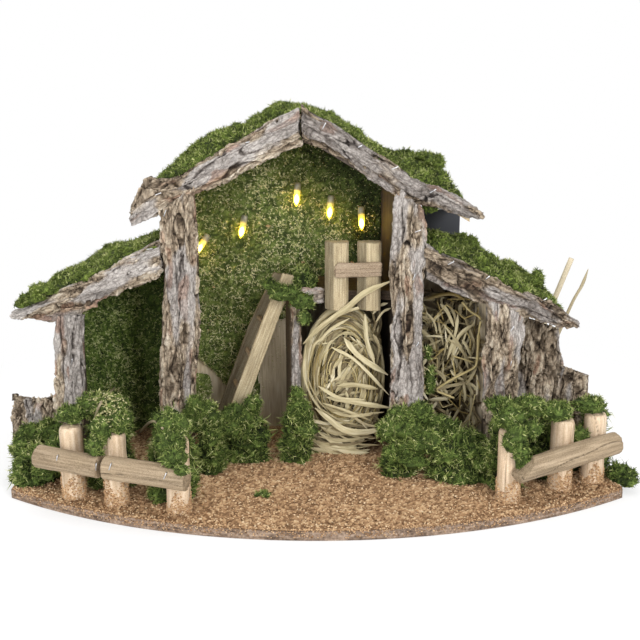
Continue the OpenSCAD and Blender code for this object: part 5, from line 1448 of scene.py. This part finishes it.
def small_finds():
    """Pale grains and bark chips caught in the moss, and twigs in the left lean-to."""
    rng = np.random.default_rng(91)
    points, _, normals = skinned("moss_wall_main", 3.0)
    front = points[normals[:, 1] < -0.6]
    chance = ease(layers(front / 20, 13, 2), 0.36, 0.72) + 0.12
    count = many(WALL_GRAINS)
    places = front[rng.choice(len(front), count, p=chance / chance.sum())]
    places = places + rng.normal(0, 1.4, places.shape) + FRONT * 3.2
    parts = [crumbs(places, rng.uniform(0.7, 1.9, count), rng.uniform(0.1, 1, count), rng)]
    heap = onto(rng.normal(HEAP_MIDDLE, HEAP_SPREAD, (many(HEAP_GRAINS), 2)), LEFT_MOSS)
    parts.append(crumbs(heap, rng.uniform(1.3, 3.0, len(heap)), rng.uniform(0, 0.6, len(heap)),
                        rng))
    joined("pale_grains", parts, CRUMB, "cork", smooth=False)
    chips = onto([(x, y) for x, y, size in CHIPS], ["back_wall_moss"])
    sizes = np.array([size for x, y, size in CHIPS], float)[:len(chips)]
    parts = [crumbs(chips, sizes, np.full(len(chips), 0.62), rng, flat=0.5)]
    joined("bark_chips", parts, CORK, "cork", smooth=False)
    parts = []
    for pixels, radius in ((TWIG, 1.3), (STICK, 1.6)):
        path = spline(onto(pixels, LEFT_MOSS + ["cork_ground"]) + FRONT * 1.2, 16)
        parts.append(stalk(path, radius * np.linspace(1, 0.7, 16), 0.3, 7))
    joined("twigs", parts, REED, "reed")


# Lamps

def lathe(profile, place, tilt, sides=20, squash=1.0):
    """Turned form about its own axis, as a part with no marks: profile is (radius, height)
    pairs in mm, and the axis tilts to the right."""
    angle = np.linspace(0, 2 * np.pi, sides, endpoint=False)
    r, h = np.array(profile, float).T
    ring = np.stack([r[:, None] * np.cos(angle), r[:, None] * np.sin(angle) * squash,
                     np.repeat(h[:, None], sides, 1)], -1)
    c, s = math.cos(tilt), math.sin(tilt)
    turn = np.array([[c, 0, s], [0, 1, 0], [-s, 0, c]])
    return lofted(ring @ turn.T + np.array(place)) + ({},)


# How far in mm the glass reaches below its solid
LAMP_DROP = 5.5
# Outlines of the glass's pointed end, of its lit heart and of the sleeve: radius, and height
# above the glass's tip, in mm
GLASS = [(0.15, 0.0), (1.0, 1.2), (2.2, 3.4), (3.0, 6.4), (3.2, 10.0), (3.0, 13.6)]
HEART = [(0.2, 2.4), (1.3, 4.2), (1.9, 7.0), (1.6, 10.4), (0.5, 13.0)]
COLLAR = [(2.9, 13.7), (3.7, 14.1), (3.75, 17.5), (3.6, 21.5), (3.3, 25.0), (2.4, 26.1)]
# Watts of the warm light that each lamp casts on the moss round it
GLOW_WATTS = 0.008


def lamp_glow(place):
    """The light of one lamp, at a place in mm."""
    glow = bpy.data.lights.new("lamp_glow", "POINT")
    glow.energy = GLOW_WATTS
    glow.color = rgb("ffd662")[:3]
    glow.shadow_soft_size = 4 * MM
    source = bpy.data.objects.new("lamp_glow", glow)
    source.location = place * MM
    bpy.context.scene.collection.objects.link(source)


def lamps():
    """Warm rice lamps with pointed tips, in milky sleeves."""
    points, faces, _ = skinned("lamp_bulbs", 0.8)
    owner = solids(points, faces)
    glasses, hearts, collars = [], [], []
    for k in range(owner.max() + 1):
        own = points[owner == k]
        middle, axes = own_axes(own)
        axis = axes[:, 0] if axes[2, 0] > 0 else -axes[:, 0]
        along = (own - middle) @ axis
        tip, top = along.min(), along.max()
        tilt = math.atan2(axis[0], axis[2])
        base = middle + axis * (tip - LAMP_DROP)
        length = top - tip + LAMP_DROP
        glasses.append(lathe(GLASS + [(2.6, length - 0.8), (1.2, length)], base, tilt))
        hearts.append(lathe(HEART, base, tilt, sides=12))
        collars.append(lathe(COLLAR, base, tilt, squash=0.86))
        lamp_glow(middle + FRONT * 6)
    made = joined("lamp_glasses", glasses, lit_glass(), "bulb")
    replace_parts(made, "lamp_bulbs")
    joined("lamp_hearts", hearts, glowing_wire(), "bulb")
    made = joined("lamp_collars", collars, milky_sleeve(), "sleeve")
    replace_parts(made, "lamp_sleeves")


# Staples

# Middles of the staples' crowns in the photograph's pixels, and their slant in degrees
STAPLE_PIXELS = [(57, 459, 80), (96, 467, 84), (110, 467, 70), (165, 476, 66), (72, 362, 84),
                 (158, 194, 20), (249, 142, 12), (324, 126, 62), (359, 147, 30),
                 (395, 168, 24), (433, 191, 30), (418, 231, 20), (451, 263, 30),
                 (487, 278, 40), (544, 300, 30), (512, 329, 60), (511, 363, 80),
                 (414, 277, 70), (417, 345, 60), (133, 257, 6), (149, 249, 8),
                 (165, 213, 70)]


def staples(carriers):
    """Narrow-crown staples, driven where the photograph shows them: their crown's width,
    their wire's radius and how far their legs reach in are in mm."""
    crown, wire, deep = 6.4, 0.55, 3.0
    parts = []
    for x, y, slant in STAPLE_PIXELS:
        places = onto([(x, y)], carriers)
        if len(places) == 0:
            continue
        place = places[0] + FRONT * 0.5
        a = math.radians(slant)
        side = np.array([math.cos(a), 0, math.sin(a)]) * crown / 2
        back = -FRONT * deep
        path = [place - side + back, place - side + 0.1 * back, place - 0.9 * side,
                place, place + 0.9 * side, place + side + 0.1 * back, place + side + back]
        parts.append(tube(np.array(path), wire, 6) + ({},))
    joined("staples", parts, STEEL, "contact")


# CAD nodes that keep their own shape

def finish_kept_nodes():
    """Gives each of them its material."""
    finishes = [(BOARD, ["base_board"]),
                (PLY, ["back_wall_main", "back_wall_left", "back_wall_right", "side_wall_left",
                       "side_wall_right", "partition_left"]),
                (PLY_ROOF, ["roof_main_left", "roof_main_right", "roof_lean_left",
                            "roof_lean_right"]),
                (SHADE_DARK_SPRUCE, ["post_main_left", "post_main_right", "post_outer_left",
                              "post_outer_right", "rafters", "partition_right"]),
                (CASE, ["battery_case", "battery_lid"]),
                (KNOB, ["battery_switch"]),
                (FILM, ["battery_cells"]),
                (LEAF_STEEL, ["battery_contacts"])]
    for material, nodes in finishes:
        for name in nodes:
            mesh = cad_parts[name].data
            if not mesh.materials:
                mesh.materials.append(material)
            for place in range(len(mesh.materials)):
                mesh.materials[place] = material


# Camera, light and floor

def white_rays(tree):
    """1 for rays of the camera, also by a mirror or through glass, and 0 for all others."""
    ray = add(tree, "ShaderNodeLightPath")
    clear = add(tree, "ShaderNodeMath", {0: ray.outputs["Is Camera Ray"],
                                         1: ray.outputs["Is Glossy Ray"]}, operation="MAXIMUM")
    clear = add(tree, "ShaderNodeMath", {0: clear.outputs[0],
                                         1: ray.outputs["Is Transmission Ray"]},
                operation="MAXIMUM")
    return clear.outputs[0]


def photo_camera():
    """The camera at the photograph's viewpoint, with no shift and no blur."""
    data = bpy.data.cameras.new("camera")
    data.lens = data.sensor_width * FOCAL_PIXELS / FRAME_PIXELS
    data.clip_end = 20
    camera = bpy.data.objects.new("camera", data)
    camera.location = CAMERA_PLACE * MM
    camera.rotation_euler = (math.pi / 2 - CAMERA_PITCH, 0, 0)
    bpy.context.scene.collection.objects.link(camera)
    bpy.context.scene.camera = camera


# Soft boxes round the stable and the place they look at, in metres, with their watts
SOFT_BOXES = [("key", (1.0, -1.9, 1.1), 0.8, 31), ("fill", (-1.2, -1.9, 0.6), 1.3, 23),
              ("top", (-0.1, -0.4, 2.2), 1.3, 17), ("rear", (-0.5, 1.8, 1.1), 1.5, 12)]
LIT_PLACE = (0, 0.05, 0.15)


def soft_boxes():
    """Plain soft light from four sides."""
    for name, place, size, power in SOFT_BOXES:
        light = bpy.data.lights.new(name, "AREA")
        light.energy = power
        light.size = size
        lamp = bpy.data.objects.new(name, light)
        lamp.location = place
        aim = Vector(LIT_PLACE) - Vector(place)
        lamp.rotation_euler = aim.to_track_quat("-Z", "Y").to_euler()
        bpy.context.scene.collection.objects.link(lamp)


def white_room():
    """A room that is plain white to the camera, and gives the object a softer light."""
    world = bpy.data.worlds.new("room")
    world.use_nodes = True
    bpy.context.scene.world = world
    tree = world.node_tree
    back = tree.nodes["Background"]
    back.inputs["Color"].default_value = rgb("ffffff")
    level = add(tree, "ShaderNodeMapRange", {"Value": white_rays(tree), "To Min": 0.6,
                                             "To Max": 1.0})
    tree.links.new(level.outputs[0], back.inputs["Strength"])


def floor_card():
    """White card: it keeps the object's shadow near by, and is plain white further off."""
    tree, shader, material = surface("floor_card", 0.9, 0.0)
    shader.inputs["Base Color"].default_value = rgb("f8f8f8")
    place = add(tree, "ShaderNodeTexCoord").outputs["Object"]
    distance = add(tree, "ShaderNodeVectorMath", {0: place}, operation="LENGTH")
    share = add(tree, "ShaderNodeMapRange", {
        "Value": distance.outputs["Value"], "From Min": 0.36, "From Max": 0.6, "To Min": 0.6,
        "To Max": 1.0})
    white = add(tree, "ShaderNodeMath", {0: share.outputs[0], 1: white_rays(tree)},
                operation="MULTIPLY")
    glow = add(tree, "ShaderNodeEmission", {"Color": rgb("ffffff")})
    both = add(tree, "ShaderNodeMixShader", {0: white.outputs[0], 1: shader.outputs[0],
                                             2: glow.outputs[0]})
    tree.links.new(both.outputs[0], tree.nodes["Material Output"].inputs["Surface"])
    return material


def pale_floor():
    """A plain pale floor just under the board, with a reach in metres."""
    reach = 6.0
    mesh = bpy.data.meshes.new("floor")
    mesh.from_pydata([(-reach, -reach, 0), (reach, -reach, 0), (reach, reach, 0),
                      (-reach, reach, 0)], [], [(0, 1, 2, 3)])
    floor = bpy.data.objects.new("floor", mesh)
    floor.location.z = -0.2 * MM
    bpy.context.scene.collection.objects.link(floor)
    mesh.materials.append(floor_card())


photo_camera()
soft_boxes()
white_room()
pale_floor()
bpy.context.scene.view_settings.view_transform = "Standard"
finish_kept_nodes()
slabs = [made.name for made in bark_all()]
moss_all()
nest()
fill()
reeds()
woodwork()
ground()
ground_grains()
small_finds()
lamps()
staples(slabs + ["left_fence_rails", "left_fence_posts"])
